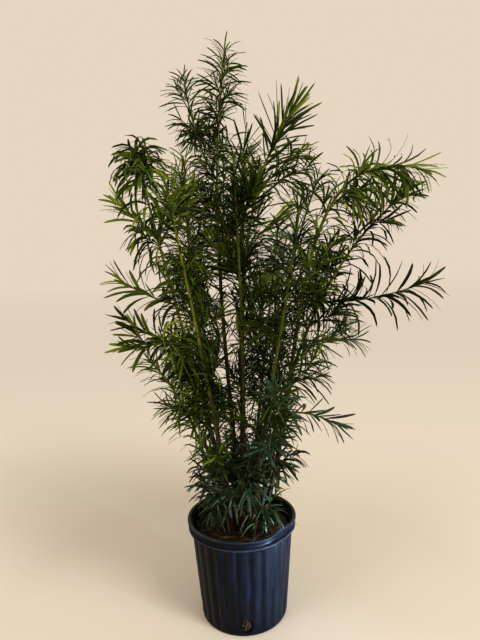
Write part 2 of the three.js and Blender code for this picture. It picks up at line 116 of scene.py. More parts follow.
# spray: its cane, share along it, handle, tip, twigs, leaf length, habit, tint
SPRAYS = {
    "leader_fork": ("leader", 0.74, (-94, 66, 1280), (-118, 84, 1462), 3, 68, "leader", "green"),
    "leader_low": ("leader", 0.56, (-20, 90, 1090), (-20, 130, 1250), 1, 76, "arched", "green"),
    "crest_side": ("crest", 0.74, (96, 10, 1190), (196, 12, 1246), 1, 68, "curled", "bright"),
    "crest_left": ("crest", 0.6, (10, -100, 1080), (44, -120, 1278), 1, 78, "straight", "green"),
    "left_fork": ("far_left", 0.76, (-172, -84, 1080), (-142, -88, 1146), 1, 82, "tuft", "bright"),
    "left_spray_1": ("far_left", 0.77, (-224, -72, 1068), (-270, -84, 1108), 0, 80, "tuft", "bright"),
    "left_spray_2": ("far_left", 0.62, (-214, -64, 876), (-282, -70, 924), 0, 84, "tuft", "bright"),
    "left_spray_3": ("far_left", 0.51, (-196, -60, 764), (-274, -74, 826), 1, 82, "tuft", "bright"),
    "left_spray_4": ("low_left", 0.72, (-140, -60, 582), (-176, -90, 606), 0, 74, "arched", "green"),
    "right_arm": ("far_right", 0.45, (300, -38, 828), (484, -62, 894), 0, 104, "plumed", "green"),
    "right_spray_1": ("far_right", 0.36, (240, -34, 752), (306, -48, 754), 1, 78, "arched", "blue"),
    "right_spray_2": ("right", 0.6, (236, 120, 880), (290, 166, 940), 1, 82, "arched", "shade"),
    "right_spray_3": ("far_right", 0.22, (196, -50, 572), (262, -64, 530), 0, 74, "tuft", "blue"),
    "front_spray_1": ("front_right", 0.3, (70, -140, 520), (100, -176, 545), 0, 62, "star", "blue"),
    "front_spray_2": ("front_left", 0.22, (-52, -110, 460), (-58, -150, 496), 0, 46, "star", "bright"),
    "front_spray_3": ("front_right", 0.46, (90, -190, 620), (90, -232, 670), 0, 76, "arched", "blue"),
    "back_spray_1": ("back_right", 0.34, (50, 170, 560), (40, 230, 600), 1, 74, "arched", "green"),
    "back_spray_2": ("back_left", 0.34, (-130, 150, 620), (-190, 200, 680), 1, 74, "arched", "green"),
    "back_spray_3": ("back_left", 0.6, (-134, 205, 905), (-130, 262, 1000), 1, 74, "arched", "bright"),
}

# (cane, share along it, compass turn)
LOW_SHOOTS = [
    ("far_left", 0.07, 225),
    ("low_left", 0.22, 100),
    ("back_left", 0.12, 112),
    ("back", 0.08, 95),
    ("back_right", 0.14, 60),
    ("right", 0.07, 72),
    ("far_right", 0.12, -78),
    ("front_right", 0.08, -62),
    ("front", 0.14, -88),
    ("front_left", 0.09, -120),
]
LOW_SHOOT_REACH = 62
LOW_SHOOT_LIFT = 26
LOW_SHOOT_TWIGS = 2
LOW_SHOOT_TWIG_SHARE = 0.7  # of the length that twigs have elsewhere
LOW_SHOOT_LEAF = 74
# Low shoots that face the cool lamp's side get the blue tint, a painted cool light on their leaves.
COOL_LIT_FROM = 0.5  # X of a low shoot's direction above which its leaves are bluish

# mass: degrees that its twigs are turned by, to keep out of the photo's sky
TWIG_TURNS = {
    "leader_foliage": 210,
    "leader_fork": 60,
    "crest_foliage": 210,
    "far_left_foliage": 210,
    "far_right_foliage": 90,
    "right_foliage": 330,
    "front_right_foliage": 30,
    "inner_right_foliage": 90,
    "right_spray_1": 150,
    "right_spray_2": 200,
}

# Openings through which the photo shows the wall, each an ellipse on the plane y = 0 as the camera sees it:
# middle, half width and half height
OPENINGS = (
    (-14, 788, 16, 91), (-34, 686, 16, 54), (-40, 885, 24, 32), (61, 1318, 15, 25), (93, 840, 17, 20),
    (-208, 928, 20, 30), (289, 925, 17, 32), (106, 1094, 20, 26), (186, 1056, 12, 22), (-113, 1346, 10, 28),
    (20, 1302, 24, 44), (221, 1101, 21, 20), (278, 708, 32, 24), (360, 819, 32, 27), (435, 907, 32, 37),
)
OPENED = 0.78  # share of the leaves over an opening that are left out
OVER_IN_FULL = 0.3  # share of a leaf's length from which it counts as over an opening in full

# Seeds and turns of the masses' own stems
SPRAY_SEEDS = 40
LOW_SHOOT_SEEDS = 80
MASS_TURN = 77

TWIG_LENGTH = 140
TWIG_SHORTENING = 0.65  # share of its length lost by a twig at the stem's tip
TWIG_FIRST = 0.04  # share of the stem above its bare part where the first may stand
TWIG_LAST = 0.82  # share along the stem above which none stands
TWIG_LIFT = 0.22

# ---- what is finer here than in the CAD source ----

TWIG_RADIUS = 1.7
TWIG_TIP_RADIUS = 0.8
TWIGLET_LENGTHS = (72.6, 39.6)  # at the first and last place on a mass's own stem
TWIGLET_SHARE = 0.75  # of those lengths on a twig
TWIGLET_EVERY = 92  # along the stem that carries them
TWIGLET_FIRST = 0.06  # share of the leafy part below which none stands
TWIGLET_LAST = 0.72
SHADE_SHOOT_EVERY = 40  # along the bare part of a cane
SHADE_SHOOT_FIRST = 0.07
SHADE_SHOOT_LENGTH = 30
SHADE_SHOOT_SHARE = 0.6  # of them with hanging leaves, and as many with leaves in the shade's tones
CLUMP_RADIUS = 52  # of the space that they fill, at the soil
CLUMP_SPREAD = 0.25  # more of it for each millimetre up
SHOOT_ROOM = 20  # left between the tip of a fine shoot and the limit of its mass
LEAN_SHARES = np.array([[0], [0.3], [1]])  # of a shoot's lean, at its three control points

# kind of side shoot: first seed and its step by the stem's seed, turn by that seed and its range, first
# place in its stretch of the stem and range of place, range of length, angle off the stem and its range,
# girth against a twig's, share of it that is bare
SHOOTS = {
    "twig": (1000, 20, 40, 50, 0.35, 0.4, 0.3, 50, 12, 1, 0.15),
    "twiglet": (9000, 31, 61, 60, 0.2, 0.6, 0.6, 50, 16, 0.8, 0.1),
    "crown": (20000, 31, 59, 40, 0.25, 0.5, 0.4, 46, 16, 0.9, 0.1),
    "shade": (12000, 31, 83, 60, 0.2, 0.6, 0.8, 54.8, 24, 0.8, 0.1),
}
# What is added to a stem's seed for the draws of each kind of thing on it
STREAMS = {"twig": 0, "leaf": 300, "crown": 3000, "shade": 5000, "twiglet": 7000}

LEAF_LAST = 1.5
LEAF_WIDTH = 2.6  # of a leaf of no length, with the next value's share of its length on top
LEAF_WIDENING = 0.038
LEAF_TURN_RANGE = 16
LEAF_ANGLE_RANGE = 20
LEAF_LENGTHS = (0.78, 0.38)  # shortest against its stem's usual, and range
LEAF_WIDTHS = (0.84, 0.32)  # narrowest against the usual for its length, and range
OPENING_POWER = 0.7  # below 1, so leaves open fast near the tip
LEAF_SEAT = 0.7  # where a leaf starts, as a share of its stem's radius
TWIST = 150  # range of the turn of a blade about its own line, up to its tip
TWIST_AT_BASE = 0.4  # share of that turn
SICKLE = 34  # range of the bend of a blade to its side
CLOSING_LENGTH = 120  # last stretch of a stem, where leaves close up
TIP_LENGTH_SHARE = 0.72  # of the youngest leaves
TIP_BEND_SHARE = 0.6
TIP_GROWING = 2.5  # times the rate of opening at which leaves reach their full length
YOUNG_OPENING = 0.3  # opening below which half the leaves are a tone lighter
OWN_TONE = 0.62  # share of a stem's leaves that have its own tone
SHED = 0.75  # most of the leaves that a stem has lost, over SHEDDING_LENGTH down from its leafy part
SHEDDING_LENGTH = 240

# habit: leaf spacing, angles between leaf and stem at the tip and further down, least and most bend, droop,
# width of the leaves against the usual, length of the stem from its tip that has kept all leaves
HABITS = {
    "leader": (3.0, 48, 74, 20, 84, 0.25, 0.8, 190),
    "straight": (3.3, 10, 56, 0, 18, 0.08, 1.02, 110),
    "tuft": (6.6, 20, 58, 6, 50, 0.25, 1.55, 90),
    "arched": (3.3, 30, 64, 20, 84, 0.35, 0.74, 130),
    "curled": (4.8, 28, 66, 34, 104, 0.55, 1.06, 240),
    "plumed": (3.4, 34, 66, 30, 84, 0.2, 1.2, 320),
    "rosette": (3.2, 66, 90, 64, 122, 0.8, 1.15, 90),
    "hanging": (5.4, 36, 76, 4, 44, 1.15, 1.12, 100),
    "star": (2.9, 34, 76, 0, 26, 0.12, 1.5, 70),
}

# How far down from a tip the leaves crowd, counted in leaves
CROWDED_TIPS = {"leader": 8, "straight": 8}
PLAIN_CROWDING = 3

# mass: short shoots round its stem's tip: how many, first and last share along the stem, length at each, how
# much they lean down, habit
CROWNS = {
    "leader_foliage": (6, 0.84, 0.965, 46, 18, 0, "leader"),
    "far_left_foliage": (7, 0.9, 0.985, 50, 30, 0.1, "rosette"),
    "mid_left_foliage": (4, 0.78, 0.97, 62, 28, 0, "arched"),
    "back_left_foliage": (3, 0.84, 0.97, 50, 28, 0, "arched"),
    "front_right_foliage": (3, 0.82, 0.96, 54, 28, 0, "arched"),
    "far_right_foliage": (8, 0.68, 0.97, 70, 40, 1.1, "curled"),
    "right_foliage": (4, 0.86, 0.96, 44, 30, 0.2, "curled"),
    "crest_side": (3, 0.6, 0.92, 30, 18, 0.3, "curled"),
}

# tint of a spray: tones that its leaves are dealt, with their shares
TINTS = {
    "shade": (("old", 0.45), ("deep", 0.4), ("teal", 0.15)),
    "green": (("deep", 0.5), ("mid", 0.35), ("old", 0.15)),
    "bright": (("mid", 0.5), ("fresh", 0.3), ("deep", 0.2)),
    "lively": (("mid", 0.5), ("deep", 0.35), ("fresh", 0.15)),
    "dull": (("dusty", 0.5), ("old", 0.3), ("teal", 0.2)),
    # blue: mostly teal leaves, for sprays on the right, painted cool light from that side
    "blue": (("mid", 0.2), ("teal", 0.8)),
}
# tone: the next lighter one, where it has one
LIGHTER = {"old": "deep", "deep": "mid", "mid": "fresh", "fresh": "young"}

# tone: base colours of a leaf's upper face, its midrib and its underside, and the upper face's roughness
LEAF_COLOURS = {
    "old": ((0.0038, 0.0076, 0.0010), (0.020, 0.030, 0.006), (0.018, 0.028, 0.006), 0.50),
    "deep": ((0.0118, 0.0230, 0.0020), (0.048, 0.072, 0.008), (0.034, 0.055, 0.010), 0.45),
    "mid": ((0.0340, 0.0610, 0.0033), (0.098, 0.140, 0.012), (0.064, 0.098, 0.014), 0.45),
    "fresh": ((0.094, 0.138, 0.005), (0.172, 0.226, 0.018), (0.120, 0.165, 0.020), 0.46),
    "young": ((0.190, 0.230, 0.008), (0.280, 0.330, 0.030), (0.220, 0.265, 0.030), 0.48),
    "dusty": ((0.021, 0.028, 0.010), (0.058, 0.068, 0.030), (0.040, 0.049, 0.021), 0.55),
    # teal: its blue-green is a painted sheen of cool light
    "teal": ((0.012, 0.041, 0.016), (0.050, 0.105, 0.050), (0.046, 0.082, 0.044), 0.40),
}
LEAF_GLOSS = {"teal": 0.4, "old": 0.05, "deep": 0.09}  # specular level, where it isn't the next value
PLAIN_LEAF_GLOSS = 0.14
RIB_ROUGHER = 0.06
UNDER_ROUGHER = 0.14


# ---- curves ----

CURVE_SAMPLES = 25  # points on a curve when it is measured


def mix(a, b, share):
    return a + (b - a) * share


def smooth(x):
    x = np.clip(x, 0, 1)
    return x * x * (3 - 2 * x)


def unit(v):
    return v / np.linalg.norm(v, axis=-1, keepdims=True)


def around(count):
    """Turns that go evenly once round."""
    return np.linspace(0, 2 * pi, count, endpoint=False)


def random_from(seed):
    """A repeatable stream of numbers from 0 to 1, the same as the CAD source's."""
    state = (seed * 2654435761) % 2**32

    def draw():
        nonlocal state
        state = (state * 1664525 + 1013904223) % 2**32
        return state / 2**32

    return draw


def point_on(controls, share):
    """The points at these shares of a Bezier curve with any number of control points."""
    share = np.asarray(share, float)[..., None]
    points = [np.broadcast_to(c, share.shape[:-1] + (3,)) for c in controls]
    while len(points) > 1:
        points = [mix(a, b, share) for a, b in zip(points, points[1:])]
    return points[0]


def slope_on(controls, share):
    return unit(point_on(np.diff(controls, axis=0), share))


def length_of(controls, start=0, end=1):
    points = point_on(controls, np.linspace(start, end, CURVE_SAMPLES))
    return np.linalg.norm(np.diff(points, axis=0), axis=1).sum()


def out_from(controls, direction, turn):
    """Straight out from a stem, at a turn about it from the X or Y axis that its chord is further from."""
    chord = controls[-1] - controls[0]
    axis = np.array([1.0, 0, 0]) if abs(chord[0]) < abs(chord[1]) else np.array([0, 1.0, 0])
    side = unit(axis - direction * (direction @ axis)[..., None])
    return side * np.cos(turn) + np.cross(direction, side) * np.sin(turn)


def tube(controls, shares, turns, radii):
    """Rows of points round a curve, at these shares and turns. radii has each row's or point's radius."""
    directions = slope_on(controls, shares)
    outward = np.stack([out_from(controls, directions, t) for t in turns], axis=1)
    radii = np.broadcast_to(radii, outward.shape[:-1])
    return point_on(controls, shares)[:, None] + outward * radii[..., None]


# ---- meshes ----


def add_object(name, data):
    thing = bpy.data.objects.new(name, data)
    bpy.context.scene.collection.objects.link(thing)
    return thing


def add_piece(name, points, faces, materials, kinds=None, sharp=None):
    """One object from points in millimetres. kinds has each face's material, and sharp marks sharp edges."""
    mesh = bpy.data.meshes.new(name)
    mesh.from_pydata((np.asarray(points) * MM).tolist(), [], faces, shade_flat=False)
    for m in materials:
        mesh.materials.append(m)
    if kinds is not None:
        mesh.polygons.foreach_set("material_index", np.asarray(kinds, np.int32))
    if sharp is not None:
        pairs = np.empty(2 * len(mesh.edges), np.int32)
        mesh.edges.foreach_get("vertices", pairs)
        mesh.edges.foreach_set("use_edge_sharp", sharp(pairs.reshape(-1, 2)))
    mesh.update()
    piece = add_object(name, mesh)
    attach(piece, "root")
    return piece


def skin(rows, sides, first=0, closed=True):
    """Quads between rows of points, and a flat cap on each end."""
    faces = []
    for k in range(rows - 1):
        for i in range(sides):
            a, b = first + k * sides + i, first + k * sides + (i + 1) % sides
            faces.append((a, b, b + sides, a + sides))
    if closed:
        last = first + (rows - 1) * sides
        faces.append(tuple(range(first + sides - 1, first - 1, -1)))
        faces.append(tuple(range(last, last + sides)))
    return faces


class Tubes:
    """Many tubes joined into one mesh."""

    def __init__(self):
        self.points, self.faces, self.kinds, self.count = [], [], [], 0

    def add(self, rows, kind=0):
        """rows has rows, sides and coordinates. kind is a material's index, or one for each stretch."""
        steps, sides = rows.shape[:2]
        kinds = np.broadcast_to(kind, (steps - 1,))
        self.points.append(rows.reshape(-1, 3))
        self.faces += skin(steps, sides, self.count)
        self.kinds += [*np.repeat(kinds, sides).tolist(), int(kinds[0]), int(kinds[-1])]
        self.count += steps * sides

    def piece(self, name, materials, slot):
        return add_piece(name, np.concatenate(self.points), self.faces, materials, self.kinds)


# ---- materials ----


def material(name, colour, roughness, gloss=0.5):
    m = bpy.data.materials.new(name)
    m.use_nodes = True
    inputs = m.node_tree.nodes["Principled BSDF"].inputs
    inputs["Base Color"].default_value = (*colour, 1)
    inputs["Roughness"].default_value = roughness
    inputs["Specular IOR Level"].default_value = gloss
    return m


def add_node(m, kind, links=(), **values):
    """A shader node with these property or socket values, and links of (its socket, another node, that one's
    output)."""
    node = m.node_tree.nodes.new("ShaderNode" + kind)
    for key, value in values.items():
        if hasattr(node, key):
            setattr(node, key, value)
        else:
            node.inputs[key.replace("_", " ")].default_value = value
    for socket, other, output in links:
        m.node_tree.links.new(other.outputs[output], node.inputs[socket])
    return node


def link(m, source, socket="Base Color"):
    """Leads a source, which is a node and its output, to the material's shader."""
    node, output = source
    shader = m.node_tree.nodes["Principled BSDF"]
    m.node_tree.links.new(node.outputs[output], shader.inputs[socket])


def own_place(m):
    """The piece's own coordinates."""
    return add_node(m, "TexCoord"), "Object"


def add_noise(m, scale, detail, roughness, stretch=1.0):
    """Noise over the piece's own coordinates, drawn out along Z by a stretch below 1."""
    drawn_out = add_node(m, "Mapping", [("Vector", *own_place(m))], Scale=(1, 1, stretch))
    links = [("Vector", drawn_out, "Vector")]
    return add_node(m, "TexNoise", links, Scale=scale, Detail=detail, Roughness=roughness), "Fac"


def add_ramp(m, source, stops):
    """A colour ramp over a source, from (place, colour) stops."""
    ramp = add_node(m, "ValToRGB", [("Fac", *source)])
    elements = ramp.color_ramp.elements
    for i, (place, colour) in enumerate(stops):
        element = elements[i] if i < 2 else elements.new(place)
        element.position = place
        element.color = (*colour, 1)
    return ramp, "Color"


def add_bump(m, source, distance, strength=1.0):
    bump = add_node(m, "Bump", [("Height", *source)], Distance=distance, Strength=strength)
    link(m, (bump, "Normal"), "Normal")


MIX_UNDER, MIX_OVER, MIX_RESULT = 6, 7, 2  # the sockets of a mix of colours


def add_patches(m, under, pattern, low, high, colour):
    """A source under patches of a colour, where the pattern, another source, rises from low to high."""
    rise = add_node(m, "MapRange", [("Value", *pattern)], From_Min=low, From_Max=high)
    patches = add_node(m, "Mix", [("Factor", rise, "Result"), (MIX_UNDER, *under)], data_type="RGBA")
    patches.inputs[MIX_OVER].default_value = (*colour, 1)
    return patches, MIX_RESULT


def leaf_materials(tone):
    upper, rib, under, roughness = LEAF_COLOURS[tone]
    gloss = LEAF_GLOSS.get(tone, PLAIN_LEAF_GLOSS)
    return [
        material(f"leaf_{tone}_upper", upper, roughness, gloss),
        material(f"leaf_{tone}_rib", rib, roughness + RIB_ROUGHER, gloss),
        material(f"leaf_{tone}_under", under, roughness + UNDER_ROUGHER, gloss),
    ]


def bark_material(name, dark, light, scale, roughness, depth):
    """Bark of one age: streaks and specks between two colours, with a fine relief of its own."""
    m = material(name, light, roughness, 0.2)
    streaks = add_noise(m, scale, 6, 0.65, 0.16)
    middle = tuple(mix(a, b, 0.5) for a, b in zip(dark, light))
    link(m, add_ramp(m, streaks, [(0.3, dark), (0.72, light), (0.5, middle)]))
    add_bump(m, streaks, depth)
    return m


RIM_HEIGHTS = (0.240, 0.275)  # in metres over the underside
# (share of the way up between those heights, how much paler the rim is there: abraded plastic and a painted
# highlight along the ridge and the lip). A ramp takes its two ends first.
RIM_WEAR_AND_HIGHLIGHT = (
    (0, 0), (1, 1), (0.16, 0), (0.20, 0.8), (0.29, 0.6), (0.33, 0), (0.80, 0), (0.86, 0.7), (0.92, 0.9),
)


def pot_material():
    """Blow-moulded black plastic whose blue cast is a painted reflection of cool light: paler along the
    ridge and the lip of the rim, where the plastic is abraded and a highlight is painted, with dull scuffs
    down its sides and a few specks of soil."""
    # The blue in this plastic's colours, here and in its cloud and scuffs, is a painted reflection of cool
    # light; the plastic is black.
    m = material("pot_plastic", (0.003, 0.005, 0.010), 0.46, 0.17)
    cloud = add_noise(m, 14, 5, 0.6)
    scuffs = add_noise(m, 110, 4, 0.65, 0.07)
    specks = add_noise(m, 230, 2, 0.5)
    tone = add_ramp(m, cloud, [(0.35, (0.0008, 0.0016, 0.0036)), (0.7, (0.0022, 0.0038, 0.0080))])
    scuffed = add_patches(m, tone, scuffs, 0.5, 0.8, (0.009, 0.014, 0.025))
    spot = add_node(m, "SeparateXYZ", [("Vector", *own_place(m))])
    low, high = RIM_HEIGHTS
    height = add_node(m, "MapRange", [("Value", spot, "Z")], From_Min=low, From_Max=high)
    # Lightens the ridge and the lip: abraded plastic and a painted highlight
    wear_and_highlight = add_ramp(m, (height, "Result"), [(at, (paleness,) * 3) for at, paleness in RIM_WEAR_AND_HIGHLIGHT])
    abraded_and_lit = add_node(m, "Math", [(0, *wear_and_highlight), (1, *cloud)], operation="MULTIPLY")
    # A pale blue-grey over the ridge and lip, partly abraded plastic and partly painted highlight
    rim = add_patches(m, scuffed, (abraded_and_lit, "Value"), 0.1, 0.9, (0.060, 0.070, 0.085))
    link(m, add_patches(m, rim, specks, 0.75, 0.8, (0.050, 0.048, 0.046)))
    rough = add_node(m, "MapRange", [("Value", *cloud)], To_Min=0.40, To_Max=0.54)
    link(m, (rough, "Result"), "Roughness")
    add_bump(m, add_noise(m, 90, 5, 0.55), 0.0005, 0.5)
    return m


def soil_material():
    """Dark potting mix: peat with rotted bark and a few paler specks."""
    m = material("potting_mix", (0.012, 0.008, 0.005), 0.95)
    lumps = add_noise(m, 120, 8, 0.75)
    specks = add_node(m, "TexVoronoi", [("Vector", *own_place(m))], Scale=260)
    stops = [(0.32, (0.003, 0.002, 0.0015)), (0.8, (0.045, 0.027, 0.014)), (0.55, (0.011, 0.007, 0.004))]
    link(m, add_ramp(m, lumps, stops))
    height = add_node(m, "Math", [(0, *lumps), (1, specks, "Distance")], operation="ADD")
    add_bump(m, (height, "Value"), 0.003)
    return m


def litter_material(name, dark, light, roughness=0.8):
    m = material(name, light, roughness)
    grain = add_noise(m, 210, 5, 0.65)
    link(m, add_ramp(m, grain, [(0.3, dark), (0.7, light)]))
    add_bump(m, grain, 0.0006)
    return m


# ---- the growth rule ----


@dataclass
class Stem:
    """A curved, tapering stem. Its leaves and twigs start at share `start` of its curve."""

    mass: str  # CAD node that it belongs to
    controls: np.ndarray
    start: float
    radii: tuple  # at shares 0 and 1 of the curve
    leaf: float  # usual length of its leaves
    habit: str
    tint: str
    seed: int
    home: np.ndarray  # the curve of the mass's own stem
    turn: float  # of its first leaf
    twigs: int = 0
    twig_share: float = 1.0  # length of its twigs against other stems'
    order: int = 0  # 0 for the mass's own stem, 1 for what stands on that, and so on

    def radius(self, share):
        return mix(*self.radii, share)


def cane_controls(name):
    foot, rise, reach, tip = CANES[name][:4]
    return np.array([(*foot, SOIL_LEVEL + CLEARANCE), rise, reach, tip], float)


def mass_stems():
    """The own stem of every mass: the canes' heads, the sprays and the low shoots."""
    stems = []

    def add(mass, controls, start, radii, leaf, habit, tint, seed, *twigs):
        home = np.array(controls, float)
        stems.append(Stem(mass, home, start, radii, leaf, habit, tint, seed, home, seed * MASS_TURN, *twigs))

    for index, (name, (bare, twigs, *looks)) in enumerate(HEADS.items()):
        radii = (CANES[name][4], CANE_TIP_RADIUS)
        add(f"{name}_foliage", cane_controls(name), bare, radii, *looks, index + 1, twigs)
    radii = (SPRAY_RADIUS, SPRAY_TIP_RADIUS)
    for index, (name, (cane, at, via, tip, twigs, *looks)) in enumerate(SPRAYS.items()):
        controls = [point_on(cane_controls(cane), at), via, tip]
        add(name, controls, 0, radii, *looks, SPRAY_SEEDS + index, twigs)
    for index, (cane, at, turn) in enumerate(LOW_SHOOTS):
        foot = point_on(cane_controls(cane), at)
        outward = np.array([cos(radians(turn)), sin(radians(turn)), 0])
        lifted = foot + LOW_SHOOT_LIFT * UP
        controls = [foot, lifted + outward * LOW_SHOOT_REACH / 2, lifted + outward * LOW_SHOOT_REACH]
        # Shoots facing the cool lamp's side get bluish leaves: painted cool light.
        looks = (LOW_SHOOT_LEAF, "hanging", "blue" if outward[0] > COOL_LIT_FROM else "dull")
        twigs = (LOW_SHOOT_TWIGS, LOW_SHOOT_TWIG_SHARE)
        add(f"low_shoot_{index + 1}", controls, 0, radii, *looks, LOW_SHOOT_SEEDS + index, *twigs)
    return stems


def shoots_on(stem, kind, draw, count, stretch, lengths, turned=0, lean=0):
    """Side shoots of one kind, a golden angle apart, in a stretch of a stem's curve. lengths are those at
    its ends. Each leaves the stem at an angle and lifts towards its tip, or leans down."""
    first_seed, seed_step, turn_step, turn_range, early, place_range, length_range, *rest = SHOOTS[kind]
    angle, angle_range, girth, bare = rest
    for i in range(count):
        share = (i + early + place_range * draw()) / count
        at = mix(*stretch, share)
        turn = radians(draw() * turn_range + i * GOLDEN_ANGLE + stem.seed * turn_step + turned)
        length = mix(*lengths, share) * (1 - length_range / 2 + length_range * draw())
        tilt = radians(angle + angle_range * (draw() - 0.5))
        direction = slope_on(stem.controls, at)
        heading = direction * cos(tilt) + out_from(stem.controls, direction, turn) * sin(tilt)
        foot = point_on(stem.controls, at)
        controls = [foot, foot + heading * length / 2, foot + heading * length + UP * TWIG_LIFT * length]
        yield replace(
            stem,
            controls=np.array(controls) - UP * lean * length * LEAN_SHARES,
            start=bare,
            radii=(TWIG_RADIUS * girth, TWIG_TIP_RADIUS),
            seed=first_seed + seed_step * stem.seed + i,
            turn=360 * draw(),
            twigs=0,
            order=stem.order + 1,
        )


def twigs_on(stem):
    """The side twigs that the CAD source has too."""
    longest = TWIG_LENGTH * stem.twig_share
    lengths = (longest, longest * (1 - TWIG_SHORTENING))
    draw = random_from(stem.seed + STREAMS["twig"])
    stretch = (stem.start + TWIG_FIRST, TWIG_LAST)
    return list(shoots_on(stem, "twig", draw, stem.twigs, stretch, lengths, TWIG_TURNS.get(stem.mass, 0)))


def twiglets_on(stem):
    """Finer twigs of the same form, between those."""
    stretch = (mix(stem.start, 1, TWIGLET_FIRST), TWIGLET_LAST)
    count = int(length_of(stem.controls, *stretch) / TWIGLET_EVERY + 0.5)
    lengths = [length * (TWIGLET_SHARE if stem.order else 1) for length in TWIGLET_LENGTHS]
    draw = random_from(stem.seed + STREAMS["twiglet"])
    return list(shoots_on(stem, "twiglet", draw, count, stretch, lengths))


def crown_on(stem):
    """Short shoots round a stem's tip."""
    count, first, last, long, short, lean, habit = CROWNS[stem.mass]
    draw = random_from(stem.seed + STREAMS["crown"])
    shoots = shoots_on(stem, "crown", draw, count, (first, last), (long, short), lean=lean)
    return [replace(shoot, habit=habit) for shoot in shoots]


def shade_shoots_on(stem):
    """Short shoots with small leaves, mostly hanging, up the bare part of a cane and inside the clump."""
    draw = random_from(stem.seed + STREAMS["shade"])
    stretch = (SHADE_SHOOT_FIRST, stem.start)
    count = int(length_of(stem.controls, *stretch) / SHADE_SHOOT_EVERY + 0.5)
    made = []
    for shoot in shoots_on(stem, "shade", draw, count, stretch, (SHADE_SHOOT_LENGTH,) * 2):
        shoot.habit = "hanging" if draw() < SHADE_SHOOT_SHARE else "arched"
        shoot.tint = "shade" if draw() < SHADE_SHOOT_SHARE else "dull"
        shoot.leaf = LOW_SHOOT_LEAF
        x, y, z = shoot.controls[-1]
        if hypot(x, y) < CLUMP_RADIUS + CLUMP_SPREAD * (z - SOIL_LEVEL):
            made.append(shoot)
    return made


def space_left(home, point):
    """How far a point is inside its mass's space, which narrows towards the tip of the mass's own stem."""
    shares = np.linspace(0, 1, CURVE_SAMPLES)
    distances = np.linalg.norm(point_on(home, shares) - point, axis=1)
    nearest = distances.argmin()
    return mix(MASS_REACH, MASS_TIP_REACH, shares[nearest]) - distances[nearest]


def share_over_openings(points):
    """The share of these points that the camera sees in one of the photo's openings."""
    eye = np.array(CAMERA_PLACE) / MM
    nearness = eye[1] / (eye[1] - points[..., 1:2])
    seen = eye + (points - eye) * nearness
    inside = np.zeros(points.shape[:-1], bool)
    for x, z, half_width, half_height in OPENINGS:
        inside |= np.hypot((seen[..., 0] - x) / half_width, (seen[..., 2] - z) / half_height) < 1
    return inside.mean(axis=-1)


def grown_stems():
    """Every stem: each mass's own, and what that carries inside the mass's space and off the openings."""
    every = []
    for stem in mass_stems():
        twigs = twigs_on(stem)
        fine = twiglets_on(stem) if stem.twigs else []
        if stem.mass.endswith("_foliage"):
            fine += shade_shoots_on(stem)
        if stem.mass in CROWNS:
            fine += crown_on(stem)
        for twig in twigs:
            fine += twiglets_on(twig)
        roomy = [t for t in fine if space_left(t.home, t.controls[-1]) > SHOOT_ROOM]
        every += [stem, *twigs, *[t for t in roomy if not share_over_openings(t.controls[1:])]]
    return every


def dealt(tint, number):
    """The tone that a number from 0 to 1 falls on."""
    for tone, share in TINTS[tint]:
        if number < share:
            return tone
        number -= share
    return TINTS[tint][0][0]


def leaves_on(stem):
    """A stem's leaves, a golden angle apart, crowding and closing up towards its tip: the tone of each and
    its row of numbers, which blade_spines and blades take apart."""
    draw = random_from(stem.seed + STREAMS["leaf"])
    spacing, closed, opened, least, most, droop, broad, leafy = HABITS[stem.habit]
    length = length_of(stem.controls, stem.start)
    own_tone = dealt(stem.tint, draw())
    crowding = CROWDED_TIPS.get(stem.habit, PLAIN_CROWDING)
    i = 0
    while (back := LEAF_LAST + spacing * i * i / (i + crowding)) <= length:
        share = mix(1, stem.start, back / length)
        opening = min(1, back / CLOSING_LENGTH)
        along = slope_on(stem.controls, share)
        turn = radians(stem.turn + i * GOLDEN_ANGLE + LEAF_TURN_RANGE * (draw() - 0.5))
        outward = out_from(stem.controls, along, turn)
        angle = radians(mix(closed, opened, opening**OPENING_POWER) + LEAF_ANGLE_RANGE * (draw() - 0.5))
        direction = along * cos(angle) + outward * sin(angle)
        upper = along * sin(angle) - outward * cos(angle)
        grown = mix(TIP_LENGTH_SHARE, 1, min(1, TIP_GROWING * opening))
        size = stem.leaf * grown * (LEAF_LENGTHS[0] + LEAF_LENGTHS[1] * draw())
        bend = radians(mix(least, most, draw()) * mix(TIP_BEND_SHARE, 1, opening))
        twist = radians(TWIST * (draw() - 0.5))
        sickle = radians(SICKLE * (draw() - 0.5))
        wide = (LEAF_WIDTH + LEAF_WIDENING * size) * broad * (LEAF_WIDTHS[0] + LEAF_WIDTHS[1] * draw())
        weight = droop * (0.5 + draw())
        tone = own_tone if draw() < OWN_TONE else dealt(stem.tint, draw())
        if opening < YOUNG_OPENING and draw() < 0.5:
            tone = LIGHTER.get(tone, tone)
        base = point_on(stem.controls, share) + outward * stem.radius(share) * LEAF_SEAT
        shed = draw() < SHED * smooth((back - leafy) / SHEDDING_LENGTH)
        if not shed and space_left(stem.home, base + direction * size) > 0:
            yield tone, (*base, *direction, *upper, size, wide, bend, twist, sickle, weight)
        i += 1


# ---- leaf blades ----

